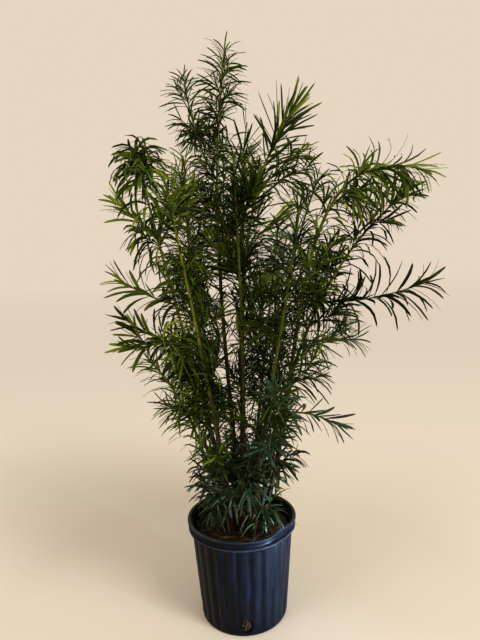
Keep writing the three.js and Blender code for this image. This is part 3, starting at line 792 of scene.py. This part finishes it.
BLADE_STEPS = 20  # fine steps along a leaf, to add up its bend
BLADE_ROWS = [0, 2, 5, 9, 13, 18]  # steps that get a row of points; the tip is one more point
BLADE_OUTLINE = (0.32, 0.74, 0.97, 1.0, 0.97, 0.62)  # share of the full width at each row
BLADE_SIDES = 5  # points of a row
BLADE_KINDS = (0, 1, 0, 2, 2)  # of the faces from each point of a row to the next: 0 upper, 1 rib, 2 under
BLADE_MARGINS = (0, 3)  # points of a row that lie on the margins
BEND_PIVOT = 0.36  # share of the leaf's length where it points along its chord
RIB_WIDTH = 0.75
RIB_WIDTH_SHARE = 0.5  # widest that the rib is, of a blade's width
RIB_RISE = 0.32
BLADE_THICKNESS = 0.5
MARGIN_DROP = 0.09  # how far the margins turn down, as a share of the width
LEAF_CLEARANCE = 4  # over the soil, and over the rim where a leaf hangs past it
BOX_MARGIN = 22  # furthest that a leaf stands past the CAD model's box


def blade_spines(rows):
    """The line along the middle of each leaf, in BLADE_STEPS steps, of the same length however it bends."""
    base, direction, upper = rows[:, 0:3], rows[:, 3:6], rows[:, 6:9]
    length, _, bend, _, sickle, droop = rows[:, 9:15].T
    side = np.cross(direction, upper)
    middles = (np.arange(BLADE_STEPS) + 0.5) / BLADE_STEPS
    down = bend[:, None] * (middles - BEND_PIVOT)
    across = sickle[:, None] * (middles - BEND_PIVOT)
    heading = (
        direction[:, None] * (np.cos(down) * np.cos(across))[..., None]
        - upper[:, None] * np.sin(down)[..., None]
        + side[:, None] * (np.cos(down) * np.sin(across))[..., None]
    )
    heading = unit(heading - (droop[:, None] * middles)[..., None] * UP)
    steps = np.cumsum(heading * (length / BLADE_STEPS)[:, None, None], axis=1)
    return base[:, None] + np.concatenate([np.zeros_like(steps[:, :1]), steps], axis=1)


def kept(rows):
    """The leaves that stay out of the soil and the pot's wall, off the openings and near the CAD's box."""
    spines = blade_spines(rows)
    reach = np.hypot(spines[..., 0], spines[..., 1])
    floor = np.where(reach < POT_MOUTH, SOIL_LEVEL, POT_HEIGHT) + LEAF_CLEARANCE
    above = (spines[..., 2] > floor).all(axis=1)
    rows, spines = rows[above], spines[above]
    over = smooth(share_over_openings(spines) / OVER_IN_FULL)
    lost = np.random.default_rng(len(rows)).random(len(rows)) < OPENED * over
    lowest, highest = np.array(cad_box) / MM
    inside = (spines > lowest - BOX_MARGIN) & (spines < highest + BOX_MARGIN)
    return rows[~lost & inside.all(axis=(1, 2))]


def blades(rows):
    """Points, faces and face kinds of curved leaves. A row across a blade has its two margins, the two sides
    of its raised midrib and the middle of its underside."""
    upper, width, twist = rows[:, 6:9], rows[:, 10], rows[:, 12]
    spine = blade_spines(rows)
    shares = np.linspace(0, 1, BLADE_STEPS + 1)
    tangent = unit(np.gradient(spine, axis=1))[:, BLADE_ROWS]
    centre = spine[:, BLADE_ROWS]
    flat = unit(np.cross(tangent, upper[:, None]))
    normal = np.cross(flat, tangent)
    turned = twist[:, None, None] * mix(TWIST_AT_BASE, 1, shares[BLADE_ROWS])[None, :, None]
    across = flat * np.cos(turned) + normal * np.sin(turned)
    normal = normal * np.cos(turned) - flat * np.sin(turned)
    half = (width[:, None] / 2 * np.array(BLADE_OUTLINE))[..., None]
    rib = np.minimum(RIB_WIDTH / 2, half * RIB_WIDTH_SHARE)
    drop = normal * half * 2 * MARGIN_DROP
    ring = [
        centre - across * half - drop,
        centre - across * rib + normal * RIB_RISE,
        centre + across * rib + normal * RIB_RISE,
        centre + across * half - drop,
        centre - normal * BLADE_THICKNESS,
    ]
    points = np.concatenate([np.stack(ring, axis=2).reshape(len(rows), -1, 3), spine[:, -1:]], axis=1)
    faces, kinds = blade_faces()
    all_faces = [f for k in range(len(rows)) for f in shifted(faces, k * points.shape[1])]
    return points.reshape(-1, 3), all_faces, np.tile(kinds, len(rows))


def shifted(faces, first):
    return [[v + first for v in f] for f in faces]


def blade_faces():
    """The faces of the first leaf, and their kinds."""
    turns, sides = len(BLADE_ROWS), BLADE_SIDES
    tip = turns * sides
    faces = [list(f) for f in skin(turns, sides, closed=False)]
    faces += [[tip - sides + i, tip - sides + (i + 1) % sides, tip] for i in range(sides)]
    faces.append(list(range(sides))[::-1])
    return faces, [*BLADE_KINDS * turns, BLADE_KINDS[-1]]


def margin_edges(pairs):
    """Marks the edges along both margins of every blade."""
    tip = len(BLADE_ROWS) * BLADE_SIDES
    own = pairs % (tip + 1)
    column = np.where(own == tip, -1, own % BLADE_SIDES)
    left, right = (((column == c) | (column == -1)).all(axis=1) for c in BLADE_MARGINS)
    return left | right


def add_leaf_piece(name, rows, materials, replaced):
    """The leaves of one kind, joined."""
    points, faces, kinds = blades(np.array(rows))
    piece = add_piece(name, points, faces, materials, kinds, margin_edges)
    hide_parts(*sorted(replaced))


# ---- bark ----

BARK_STEP = 3.4  # along a cane
BARK_SIDES = 18
BARK_DEPTH = 0.5  # of the furrows low on a cane
GREEN_BARK_DEPTH = 0.12
OLD_UP_TO = 0.62  # share along a cane where the last furrows fade out
AGEING = 0.4  # share along it over which they fade
FURROW_ROWS = 11  # over which the furrows are smoothed
GRAIN_ROWS = 3
FURROW_SHARE = 0.75  # of the relief, beside the grain
FLARE_LOBES = 0.1  # of a foot's girth, added and taken off three times round
KNOTS_PER_CANE = 26
KNOT_PLACES = (0.04, 0.75)  # shares along a cane between which they stand
KNOT_HEIGHT = 0.9
KNOT_SIZE = 7  # square of its radius
KNOT_STRETCH = 0.7  # below 1, so a knot is longer than it is wide
TIP_TAPER = 0.3  # of a cane's last row against the one before
BARK_RAGGEDNESS = 0.03  # of the lines between two barks, as a share of the cane
OLIVE_FROM = 0.95  # share of a cane's bare part
GREEN_FROM = 0.22  # share of a cane above its bare part
LIME_BARK_FROM = {"bright": 0.7, "lively": 0.42, "green": 0.62}  # share along the cane, by its tint

# bark: its darkest and lightest colours, scale of its streaks, roughness and relief in metres
BARKS = {
    "bark_old": ((0.022, 0.013, 0.008), (0.085, 0.048, 0.025), 420, 0.85, 0.0012),
    "bark_olive": ((0.028, 0.026, 0.006), (0.090, 0.078, 0.014), 380, 0.65, 0.0006),
    "bark_green": ((0.048, 0.066, 0.006), (0.105, 0.125, 0.012), 300, 0.5, 0.0003),
    "bark_lime": ((0.110, 0.130, 0.008), (0.210, 0.230, 0.018), 300, 0.48, 0.0003),
}

TWIG_SIDES = 6
TWIG_STEP = 9
BUD_RISE = (1.6, 3.4)  # of a bud's two rows past the twig's end
BUD_GIRTH = 1.15  # against the twig's tip
BUD_TIP_RADIUS = 0.25


def smoothed(rng, rows, window):
    """Noise over rows and sides, smoothed twice along the rows by a running mean."""
    noise = rng.standard_normal((rows, BARK_SIDES))
    mean = np.ones(window) / window
    for _ in range(2):
        padded = np.pad(noise, ((window, window), (0, 0)), mode="wrap")
        noise = np.apply_along_axis(np.convolve, 0, padded, mean, mode="same")[window:-window]
    return noise / np.abs(noise).max()


def add_cane(name, tubes):
    """One cane's bark from soil to tip: furrowed and knotted low down, smooth and green higher up."""
    girth = CANES[name][4]
    bare, *_, tint = HEADS[name]
    rng = np.random.default_rng(list(CANES).index(name))
    controls = cane_controls(name)
    shares = np.linspace(0, 1, int(length_of(controls) / BARK_STEP))
    rows = len(shares)
    turns = around(BARK_SIDES)
    age = smooth((OLD_UP_TO - shares) / AGEING)[:, None]
    furrows = smoothed(rng, rows, FURROW_ROWS)
    grain = smoothed(rng, rows, GRAIN_ROWS)
    relief = mix(GREEN_BARK_DEPTH, BARK_DEPTH, age) * mix(grain, furrows, FURROW_SHARE)
    height = point_on(controls, shares)[:, 2:] - SOIL_LEVEL
    foot = np.clip(1 - height / FLARE_HEIGHT, 0, 1)
    lobes = FLARE_LOBES * np.cos(3 * turns + rng.uniform(0, 6))
    radii = mix(girth, CANE_TIP_RADIUS, shares)[:, None] * (1 + foot * (FLARE - 1 + lobes)) + relief
    for _ in range(KNOTS_PER_CANE):
        row, turn = rng.uniform(*KNOT_PLACES) * rows, rng.uniform(0, 2 * pi)
        aside = np.angle(np.exp(1j * (turns - turn))) * girth
        beyond = (np.arange(rows)[:, None] - row) * BARK_STEP * KNOT_STRETCH
        radii = radii + KNOT_HEIGHT * np.exp(-(aside**2 + beyond**2) / KNOT_SIZE)
    radii[-1] *= TIP_TAPER
    ragged = shares[:-1] + BARK_RAGGEDNESS * rng.standard_normal(rows - 1)
    kinds = np.where(ragged < bare * OLIVE_FROM, 0, np.where(ragged < bare + GREEN_FROM, 1, 2))
    kinds = np.where(ragged > LIME_BARK_FROM.get(tint, 1), 3, kinds)
    tubes.add(tube(controls, shares, turns, radii), kinds)


def add_twig(stem, tubes):
    """A twig's tube, with a blunt bud at its tip."""
    shares = np.linspace(0, 1, max(4, int(length_of(stem.controls) / TWIG_STEP)))
    radii = [*stem.radius(shares), stem.radii[1] * BUD_GIRTH, BUD_TIP_RADIUS]
    rows = tube(stem.controls, [*shares, 1, 1], around(TWIG_SIDES), np.array(radii)[:, None])
    rows[-2:] += slope_on(stem.controls, 1) * np.array(BUD_RISE)[:, None, None]
    tubes.add(rows, int(stem.tint == "bright"))


def add_plant():
    rows = {tone: [] for tone in LEAF_COLOURS}
    masses = {tone: set() for tone in LEAF_COLOURS}
    stems = grown_stems()
    for stem in stems:
        for tone, row in leaves_on(stem):
            rows[tone].append(row)
            masses[tone].add(stem.mass)

    canes = Tubes()
    for name in CANES:
        add_cane(name, canes)
    barks = [bark_material(name, *looks) for name, looks in BARKS.items()]
    bark = canes.piece("bark_canes", barks, "bark")
    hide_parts(*[f"{name}_stem" for name in CANES])

    twigs = Tubes()
    for stem in stems:
        if not stem.mass.endswith("_foliage") or stem.order:
            add_twig(stem, twigs)
    twigs.piece("twigs", barks[2:], "foliage")

    for tone in LEAF_COLOURS:
        add_leaf_piece(f"leaves_{tone}", kept(np.array(rows[tone])), leaf_materials(tone), masses[tone])


# ---- pot and soil ----

COLLAR_FOOT = 246
SHOULDER_RADIUS = 138
BASE_RADIUS = 117
BASE_ROUND = 5
POT_WALL = 3.2
POT_FLOOR = 5
RIBS = 26
RIB_DEPTH = 3.2
HOLES = 4
HOLE_WIDTH = 28
HOLE_HEIGHT = 42
HOLE_RISE = 30  # of its middle over the underside
HOLE_TURN = 3.5  # of the front one from the front, in degrees
HOLE_SIDES = 32
PUNCH_REACH = (14, 12)  # how far a punch reaches in and out from the base's radius
POT_SEGMENTS = RIBS * 12
POT_SMOOTHING = 38  # sharpest angle between two faces that is shaded smooth
FLUTE_SHARPNESS = 1.5
# The pairs named FROM are a height, and the rise over which a change grows from there to its full size
OUT_OF_ROUND = 0.7  # of the rim, each way from a circle that is smaller by as much
OUT_OF_ROUND_PHASE = 0.9
OUT_OF_ROUND_FROM = (180, 90)
CREASE_TURN = -27.0  # compass turn of the kink in the rim
CREASE_WIDTH = 4.0
CREASE_DEPTH = 3.0
CREASE_FROM = (236, 30)
CREASE_SAG = 1.6  # of the lip at the kink
CREASE_SAG_FROM = (262, 8)
FLAT_TURN = -42.0  # of the stretch beside it where the rim is pushed in
FLAT_WIDTH = 15.0
FLAT_DEPTH = 12.0
FLAT_FROM = ((0.3, 225, 30), (0.7, 250, 18))  # two shares of its depth, each with such a pair


def wall_inside(z):
    up = (z - POT_FLOOR) / (COLLAR_FOOT - POT_FLOOR)
    return mix(BASE_RADIUS, SHOULDER_RADIUS, up) - POT_WALL - RIB_DEPTH


def wall_outside(z):
    return mix(BASE_RADIUS + 1, SHOULDER_RADIUS, (z - 2 * BASE_ROUND) / (COLLAR_FOOT - 2 - 2 * BASE_ROUND))


def pot_profile():
    """(radius, height, depth of the flutes) from the middle of the underside, up outside and down inside."""
    arc = [radians(a) for a in (0, 22, 45, 68, 90)]
    corner = [(BASE_RADIUS - BASE_ROUND * (1 - sin(a)), BASE_ROUND * (1 - cos(a)), 0) for a in arc]
    heights = [8, 12, 20, 32, 50, 75, 105, 135, 165, 195, 218, 230, 238, 241.5]
    fade = [0.1, 0.4, 0.9, 1, 1, 1, 1, 1, 1, 1, 1, 1, 0.85, 0.4]
    wall = [(wall_outside(z), z, depth) for z, depth in zip(heights, fade)]
    ridge = [(138.6, 243.8), (141, 245.4), (146.8, 246), (147.9, 246.8), (148, 248.2), (147.6, 249.6)]
    under_band = [(146, 250.8), (143.6, 252), (142.4, 253.2)]
    band = [(142, 256), (142.2, 260), (142.6, 264.4), (143.4, 265.6)]
    lip = [(148.9, 265.9), (149.8, 266.8), (150, 268.8), (149.7, 270.9), (148.6, 271.8), (146.6, 272)]
    inside = [(143.4, 271.8), (141.6, 271), (140.9, 269.4), (140.8, 264.6), (139, 263.6), (138.8, 258.4)]
    ledge = [(137, 257.4), (136.7, 250), (134.4, 246.4), (wall_inside(240), 240), (wall_inside(120), 120)]
    foot = [(wall_inside(POT_FLOOR), POT_FLOOR), (60, POT_FLOOR)]
    plain = [(r, z, 0) for r, z in ridge + under_band + band + lip + inside + ledge + foot]
    return [(70, 0, 0), *corner, *wall, *plain]


def pot_points():
    turns = around(POT_SEGMENTS)
    groove = ((1 - np.cos(RIBS * turns)) / 2) ** FLUTE_SHARPNESS
    radius, height, fluted = np.array(pot_profile()).T[..., None]

    def above(low, rise):
        return smooth((height - low) / rise)

    def near(turn, width):
        compass = np.degrees(turns) - 90
        return np.exp(-((((compass - turn + 180) % 360 - 180) / width) ** 2))

    crease = near(CREASE_TURN, CREASE_WIDTH) * above(*CREASE_FROM)
    pushed = near(FLAT_TURN, FLAT_WIDTH) * sum(share * above(low, rise) for share, low, rise in FLAT_FROM)
    give = OUT_OF_ROUND * above(*OUT_OF_ROUND_FROM) * (np.cos(2 * turns + OUT_OF_ROUND_PHASE) - 1)
    radii = radius - RIB_DEPTH * fluted * groove + give - CREASE_DEPTH * crease - FLAT_DEPTH * pushed
    heights = height - CREASE_SAG * crease * above(*CREASE_SAG_FROM)
    return np.stack([radii * np.sin(turns), -radii * np.cos(turns), heights], axis=-1)


def add_pot():
    rows = pot_points()
    count, sides = rows.shape[:2]
    faces = skin(count, sides, closed=False)
    under, floor = count * sides, count * sides + 1
    last = (count - 1) * sides
    faces += [(under, (i + 1) % sides, i) for i in range(sides)]
    faces += [(floor, last + i, last + (i + 1) % sides) for i in range(sides)]
    points = np.concatenate([rows.reshape(-1, 3), [[0, 0, 0], [0, 0, POT_FLOOR]]])
    pot = add_piece("pot_body", points, faces, [pot_material()])
    punches = hole_punches()
    for punch in punches:
        cut = pot.modifiers.new("hole", "BOOLEAN")
        cut.operation, cut.object, cut.solver = "DIFFERENCE", punch, "EXACT"
    seen = pot.evaluated_get(bpy.context.evaluated_depsgraph_get())
    mesh = bpy.data.meshes.new_from_object(seen)
    pot.modifiers.clear()
    pot.data = mesh
    mesh.set_sharp_from_angle(angle=radians(POT_SMOOTHING))
    for punch in punches:
        bpy.data.objects.remove(punch)
    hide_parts("pot")


def hole_turns():
    return [radians(HOLE_TURN + 360 * k / HOLES) for k in range(HOLES)]


def hole_punches():
    """An upright oval bar across the wall at each drain hole."""
    punches = []
    a = around(HOLE_SIDES)
    oval = np.stack([np.cos(a) * HOLE_WIDTH / 2, 0 * a, np.sin(a) * HOLE_HEIGHT / 2 + HOLE_RISE], axis=-1)
    inward, outward = PUNCH_REACH
    bar = np.concatenate([oval - [0, BASE_RADIUS - inward, 0], oval - [0, BASE_RADIUS + outward, 0]])
    for turn in hole_turns():
        spin = np.array([[cos(turn), -sin(turn), 0], [sin(turn), cos(turn), 0], [0, 0, 1]])
        mesh = bpy.data.meshes.new("punch")
        mesh.from_pydata(((bar @ spin.T) * MM).tolist(), [], skin(2, HOLE_SIDES))
        punches.append(add_object("punch", mesh))
    return punches


SOIL_RINGS = 56
SOIL_SEGMENTS = 150
SOIL_SIDE_HEIGHTS = (30, 60, 120, 180, 228)
LUMPS = ((27, 3.4), (10, 2.6), (4.2, 1.6))  # size and height of the lumps in the soil's surface
MOUND = (4, 62)  # height and radius of the rise at the foot of the plant
SUNK = (3.5, 96, 34)  # how far the soil has sunk at the wall, from a radius and over a radius
LATTICE = 128


def lattice_noise(x, y, size, seed):
    """Smooth noise from -1 to 1 over a lattice of this size."""
    grid = np.random.default_rng(seed).uniform(-1, 1, (LATTICE, LATTICE))
    x, y = np.asarray(x) / size + LATTICE // 2, np.asarray(y) / size + LATTICE // 2
    i, j = np.floor(x).astype(int), np.floor(y).astype(int)
    u, v = smooth(x - i), smooth(y - j)
    low = mix(grid[i, j], grid[i + 1, j], u)
    high = mix(grid[i, j + 1], grid[i + 1, j + 1], u)
    return mix(low, high, v)


def soil_height(x, y):
    distance = np.hypot(x, y)
    lumps = sum(h / 2 * lattice_noise(x, y, size, seed) for seed, (size, h) in enumerate(LUMPS))
    mound = MOUND[0] * np.exp(-((distance / MOUND[1]) ** 2))
    depth, start, width = SUNK
    return SOIL_LEVEL + lumps + mound - depth * smooth((distance - start) / width)


def add_soil():
    turns = around(SOIL_SEGMENTS)
    rows = []
    for z in (POT_FLOOR + CLEARANCE, *SOIL_SIDE_HEIGHTS):
        r = wall_inside(z) - 2 * CLEARANCE
        rows.append(np.stack([r * np.cos(turns), r * np.sin(turns), z + 0 * turns], axis=-1))
    edge = wall_inside(SOIL_LEVEL) - 2 * CLEARANCE
    for k in range(SOIL_RINGS, 0, -1):
        r = edge * k / SOIL_RINGS
        x, y = r * np.cos(turns), r * np.sin(turns)
        rows.append(np.stack([x, y, soil_height(x, y)], axis=-1))
    faces = skin(len(rows), SOIL_SEGMENTS)
    soil = add_piece("soil_bed", np.concatenate(rows), faces, [soil_material()])
    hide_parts("soil")


# ---- what lies on the soil ----

LITTER_RADIUS = 122
CHIPS = 620
CHIP_SPREAD = 1.04  # of the litter's radius
CHIP_SIZES = (2.4, 9.5)
SMALL_CHIPS = 2.2  # power of an even draw; above 1, so most chips are small
CHIP_DENTS = (0.6, 1.2)
CHIP_WIDTHS = (0.3, 0.8)  # against its length
CHIP_HEIGHTS = (0.2, 0.5)
CHIP_TILT = 0.35
CHIP_RISE = 0.12  # of its middle over the soil, as a share of its size
CHIP_COLOURS = {
    "chip_dark": ((0.010, 0.006, 0.004), (0.040, 0.024, 0.014)),
    "chip_brown": ((0.030, 0.017, 0.009), (0.085, 0.050, 0.027)),
    "chip_tan": ((0.060, 0.036, 0.018), (0.190, 0.120, 0.064)),
}

DEAD_LEAVES = 64
DEAD_LEAF_SPREAD = (34, LITTER_RADIUS - 12)
DEAD_LEAF_LENGTHS = (34, 66)
DEAD_LEAF_WIDTHS = (0.06, 0.1)  # against its length
DEAD_LEAF_LIFT = (0.8, 4)  # over the highest soil below it
DEAD_LEAF_SLOPES = (-0.03, 0.06)  # rise for each millimetre along
DEAD_LEAF_TILT = 0.3
DEAD_LEAF_BENDS = (0.1, 0.9)
DEAD_LEAF_TWIST = 0.8
DEAD_LEAF_SICKLE = 0.5
DEAD_LEAF_ROUGHNESS = 0.7
DEAD_LEAF_TAN = 0.3  # share of them that are tan
DEAD_LEAF_COLOURS = {
    "brown": ((0.018, 0.010, 0.006), (0.060, 0.034, 0.016)),
    "tan": ((0.060, 0.036, 0.016), (0.170, 0.110, 0.052)),
}

STALK_SIDES = 5
STALK_ROWS = 14
STALK_TAPER = 0.6
STRAW_RADIUS = 0.6
# Control points of each straw
STRAWS = [
    [(66, -58, 243), (78, -46, 249), (96, -40, 250), (112, -40, 254)],
    [(84, -66, 242), (98, -52, 250), (114, -46, 256), (126, -48, 266)],
    [(60, -74, 243), (80, -72, 247), (100, -62, 246)],
    [(118, -50, 258), (130, -58, 270), (140, -66, 275.5), (151, -74, 270)],
    [(-6, -84, 243), (12, -90, 248), (34, -88, 245), (48, -80, 243)],
    [(8, -98, 243), (26, -102, 247), (44, -98, 243)],
    [(-118, -8, 242), (-122, 6, 249), (-126, 20, 246)],
    [(-112, -28, 243), (-104, -44, 248), (-96, -62, 244)],
    [(-92, 40, 243), (-70, 62, 250), (-52, 70, 245)],
    [(20, 88, 243), (48, 92, 249), (70, 80, 244)],
    [(96, 30, 243), (104, 52, 249), (98, 70, 244)],
    [(-40, 96, 243), (-20, 108, 248), (4, 104, 243)],
]
FIBRES_PER_HOLE = 9
FIBRE_SPREAD = 0.45  # of a hole's width and height, each way
FIBRE_DEPTHS = (-0.6, 1.2)  # past the inside of the wall
FIBRE_RADII = (0.4, 0.9)


def add_chips():
    """Crumbs and chips of rotted bark: dented eight-sided lumps, pressed a little into the soil."""
    rng = np.random.default_rng(11)
    corners = np.array([[1, 0, 0], [-1, 0, 0], [0, 1, 0], [0, -1, 0], [0, 0, 1], [0, 0, -1]], float)
    lump = [(0, 2, 4), (2, 1, 4), (1, 3, 4), (3, 0, 4), (2, 0, 5), (1, 2, 5), (3, 1, 5), (0, 3, 5)]
    points, faces, kinds = [], [], []
    for i in range(CHIPS):
        r, a = LITTER_RADIUS * CHIP_SPREAD * sqrt(rng.random()), rng.uniform(0, 2 * pi)
        size = mix(*CHIP_SIZES, rng.random() ** SMALL_CHIPS)
        dented = corners * rng.uniform(*CHIP_DENTS, (6, 1)) * size
        shape = dented * np.array([1, rng.uniform(*CHIP_WIDTHS), rng.uniform(*CHIP_HEIGHTS)]) / 2
        spin = Matrix.Rotation(rng.uniform(0, 6.28), 3, "Z")
        tilt = spin @ Matrix.Rotation(rng.normal() * CHIP_TILT, 3, "X")
        x, y = r * cos(a), r * sin(a)
        points.append(shape @ np.array(tilt).T + np.array([x, y, soil_height(x, y) + CHIP_RISE * size]))
        faces += shifted(lump, 6 * i)
        kinds += [int(rng.integers(0, 3))] * len(lump)
    browns = [litter_material(name, *colours) for name, colours in CHIP_COLOURS.items()]
    piece = add_piece("bark_chips", np.concatenate(points), faces, browns, kinds)
    piece.data.shade_flat()


def add_dead_leaves():
    """Fallen leaves, brown and curled, lying on the mix."""
    rng = np.random.default_rng(23)
    rows = {name: [] for name in DEAD_LEAF_COLOURS}
    for _ in range(DEAD_LEAVES):
        r, a = mix(*DEAD_LEAF_SPREAD, sqrt(rng.random())), rng.uniform(0, 2 * pi)
        heading = rng.uniform(0, 2 * pi)
        length = rng.uniform(*DEAD_LEAF_LENGTHS)
        rng.normal()  # isn't used, but keeps the draws after it as they are
        direction = np.array([cos(heading), sin(heading), 0])
        start = np.array([r * cos(a), r * sin(a), 0]) - direction * length / 2
        spots = [start + direction * length * share for share in (0, 0.5, 1)]
        if max(hypot(x, y) for x, y, _ in (spots[0], spots[2])) > LITTER_RADIUS:
            continue
        start[2] = max(soil_height(x, y) for x, y, _ in spots) + rng.uniform(*DEAD_LEAF_LIFT)
        direction[2] = rng.uniform(*DEAD_LEAF_SLOPES)
        direction = unit(direction)
        tilted = UP + rng.normal(size=3) * DEAD_LEAF_TILT
        upper = unit(tilted - direction * (tilted @ direction))
        bend = rng.uniform(*DEAD_LEAF_BENDS)
        twist, sickle = rng.normal() * DEAD_LEAF_TWIST, rng.normal() * DEAD_LEAF_SICKLE
        name = "tan" if rng.random() < DEAD_LEAF_TAN else "brown"
        width = length * rng.uniform(*DEAD_LEAF_WIDTHS)
        rows[name].append((*start, *direction, *upper, length, width, bend, twist, sickle, 0))
    for name, colours in DEAD_LEAF_COLOURS.items():
        paint = litter_material(f"dead_leaf_{name}", *colours, DEAD_LEAF_ROUGHNESS)
        add_leaf_piece(f"dead_leaves_{name}", rows[name], [paint] * 3, [])


def add_stalk(points, tubes, radius):
    shares = np.linspace(0, 1, STALK_ROWS)
    radii = np.linspace(radius, radius * STALK_TAPER, STALK_ROWS)[:, None]
    tubes.add(tube(np.array(points, float), shares, around(STALK_SIDES), radii))


def add_straws():
    straws = Tubes()
    for points in STRAWS:
        add_stalk(points, straws, STRAW_RADIUS)
    paint = litter_material("straw", (0.150, 0.085, 0.030), (0.340, 0.215, 0.085), 0.6)
    straws.piece("straws", [paint], "soil")


def add_root_fibres():
    """Roots that show in the drain holes, curling against the inside of the wall."""
    rng = np.random.default_rng(5)
    fibres = Tubes()
    for turn in hole_turns():
        out = np.array([sin(turn), -cos(turn), 0])
        across = np.array([cos(turn), sin(turn), 0])
        for _ in range(FIBRES_PER_HOLE):
            depth = wall_inside(HOLE_RISE) + rng.uniform(*FIBRE_DEPTHS)
            spots = rng.uniform(-1, 1, (4, 2)) * [HOLE_WIDTH * FIBRE_SPREAD, HOLE_HEIGHT * FIBRE_SPREAD]
            points = [out * depth + across * u + UP * (HOLE_RISE + v) for u, v in spots]
            add_stalk(points, fibres, rng.uniform(*FIBRE_RADII))
    paint = litter_material("root", (0.050, 0.024, 0.010), (0.170, 0.085, 0.034), 0.8)
    fibres.piece("root_fibres", [paint], "soil")


# ---- stage ----

FLOOR_SIZE = 80.0
FLOOR_NEAR = (0.66, 0.62, 0.56)
FLOOR_FAR = (1.0, 1.0, 1.0)
# The floor has its near colour while FLOOR_FADE over its distance plus FLOOR_EVEN, in metres, is 1 or more
FLOOR_EVEN = 1.3
FLOOR_FADE = 2.0
WALL_LIGHT = (0.80, 0.69, 0.56)
WALL_STRENGTH = 0.84
CAMERA_LENS = 27.04
SENSOR_WIDTH = 36
CAMERA_TILT = 84.8
CAMERA_ROLL = -1.9

# light: place, what it aims at, size, watts, colour, spread in degrees
LIGHTS = {
    "key": ((1.3, -1.4, 2.9), (0.05, 0, 0.9), 1.0, 52, (1.0, 0.93, 0.80), 180),
    "left": ((-2.0, -1.6, 2.2), (-0.1, 0, 0.9), 1.2, 19, (1.0, 0.97, 0.88), 180),
    "cool": ((1.35, -0.95, 0.09), (0, 0, 0.22), 0.14, 2.0, (0.42, 0.66, 1.0), 22),
}


def add_floor():
    """A pale floor that lightens with distance, so that it meets the world without a line."""
    mesh = bpy.data.meshes.new("floor")
    half = FLOOR_SIZE / 2
    corners = [(-half, -half, 0), (half, -half, 0), (half, half, 0), (-half, half, 0)]
    mesh.from_pydata(corners, [], [(0, 1, 2, 3)])
    paint = material("floor_paint", FLOOR_NEAR, 0.9, 0.1)
    away = add_node(paint, "VectorMath", [(0, *own_place(paint))], operation="LENGTH")
    farther = add_node(paint, "Math", [(0, away, "Value")], operation="ADD")
    farther.inputs[1].default_value = FLOOR_EVEN
    inverse = add_node(paint, "Math", [(1, farther, "Value")], operation="DIVIDE")
    inverse.inputs[0].default_value = FLOOR_FADE
    link(paint, add_ramp(paint, (inverse, "Value"), [(0, FLOOR_FAR), (1, FLOOR_NEAR)]))
    mesh.materials.append(paint)
    floor = add_object("floor", mesh)


def add_lights():
    bpy.context.scene.view_settings.view_transform = "Standard"
    bpy.context.scene.view_settings.look = "Medium High Contrast"
    world = bpy.data.worlds.new("studio")
    world.use_nodes = True
    background = world.node_tree.nodes["Background"]
    background.inputs["Color"].default_value = (*WALL_LIGHT, 1)
    background.inputs["Strength"].default_value = WALL_STRENGTH
    bpy.context.scene.world = world
    for name, (place, aim, size, power, colour, spread) in LIGHTS.items():
        data = bpy.data.lights.new(name, "AREA")
        data.shape, data.size, data.energy, data.color = "DISK", size, power, colour
        data.spread = radians(spread)
        lamp = add_object(name, data)
        lamp.location = place
        lamp.rotation_euler = (Vector(aim) - Vector(place)).to_track_quat("-Z", "Y").to_euler()


def add_camera():
    data = bpy.data.cameras.new("camera")
    data.lens, data.sensor_width = CAMERA_LENS, SENSOR_WIDTH
    camera = add_object("camera", data)
    tilt = Matrix.Rotation(radians(CAMERA_TILT), 4, "X")
    roll = Matrix.Rotation(radians(CAMERA_ROLL), 4, "Z")
    camera.matrix_world = Matrix.Translation(CAMERA_PLACE) @ tilt @ roll
    bpy.context.scene.camera = camera


add_camera()
add_lights()
add_floor()
add_pot()
add_soil()
add_chips()
add_dead_leaves()
add_straws()
add_root_fibres()
add_plant()
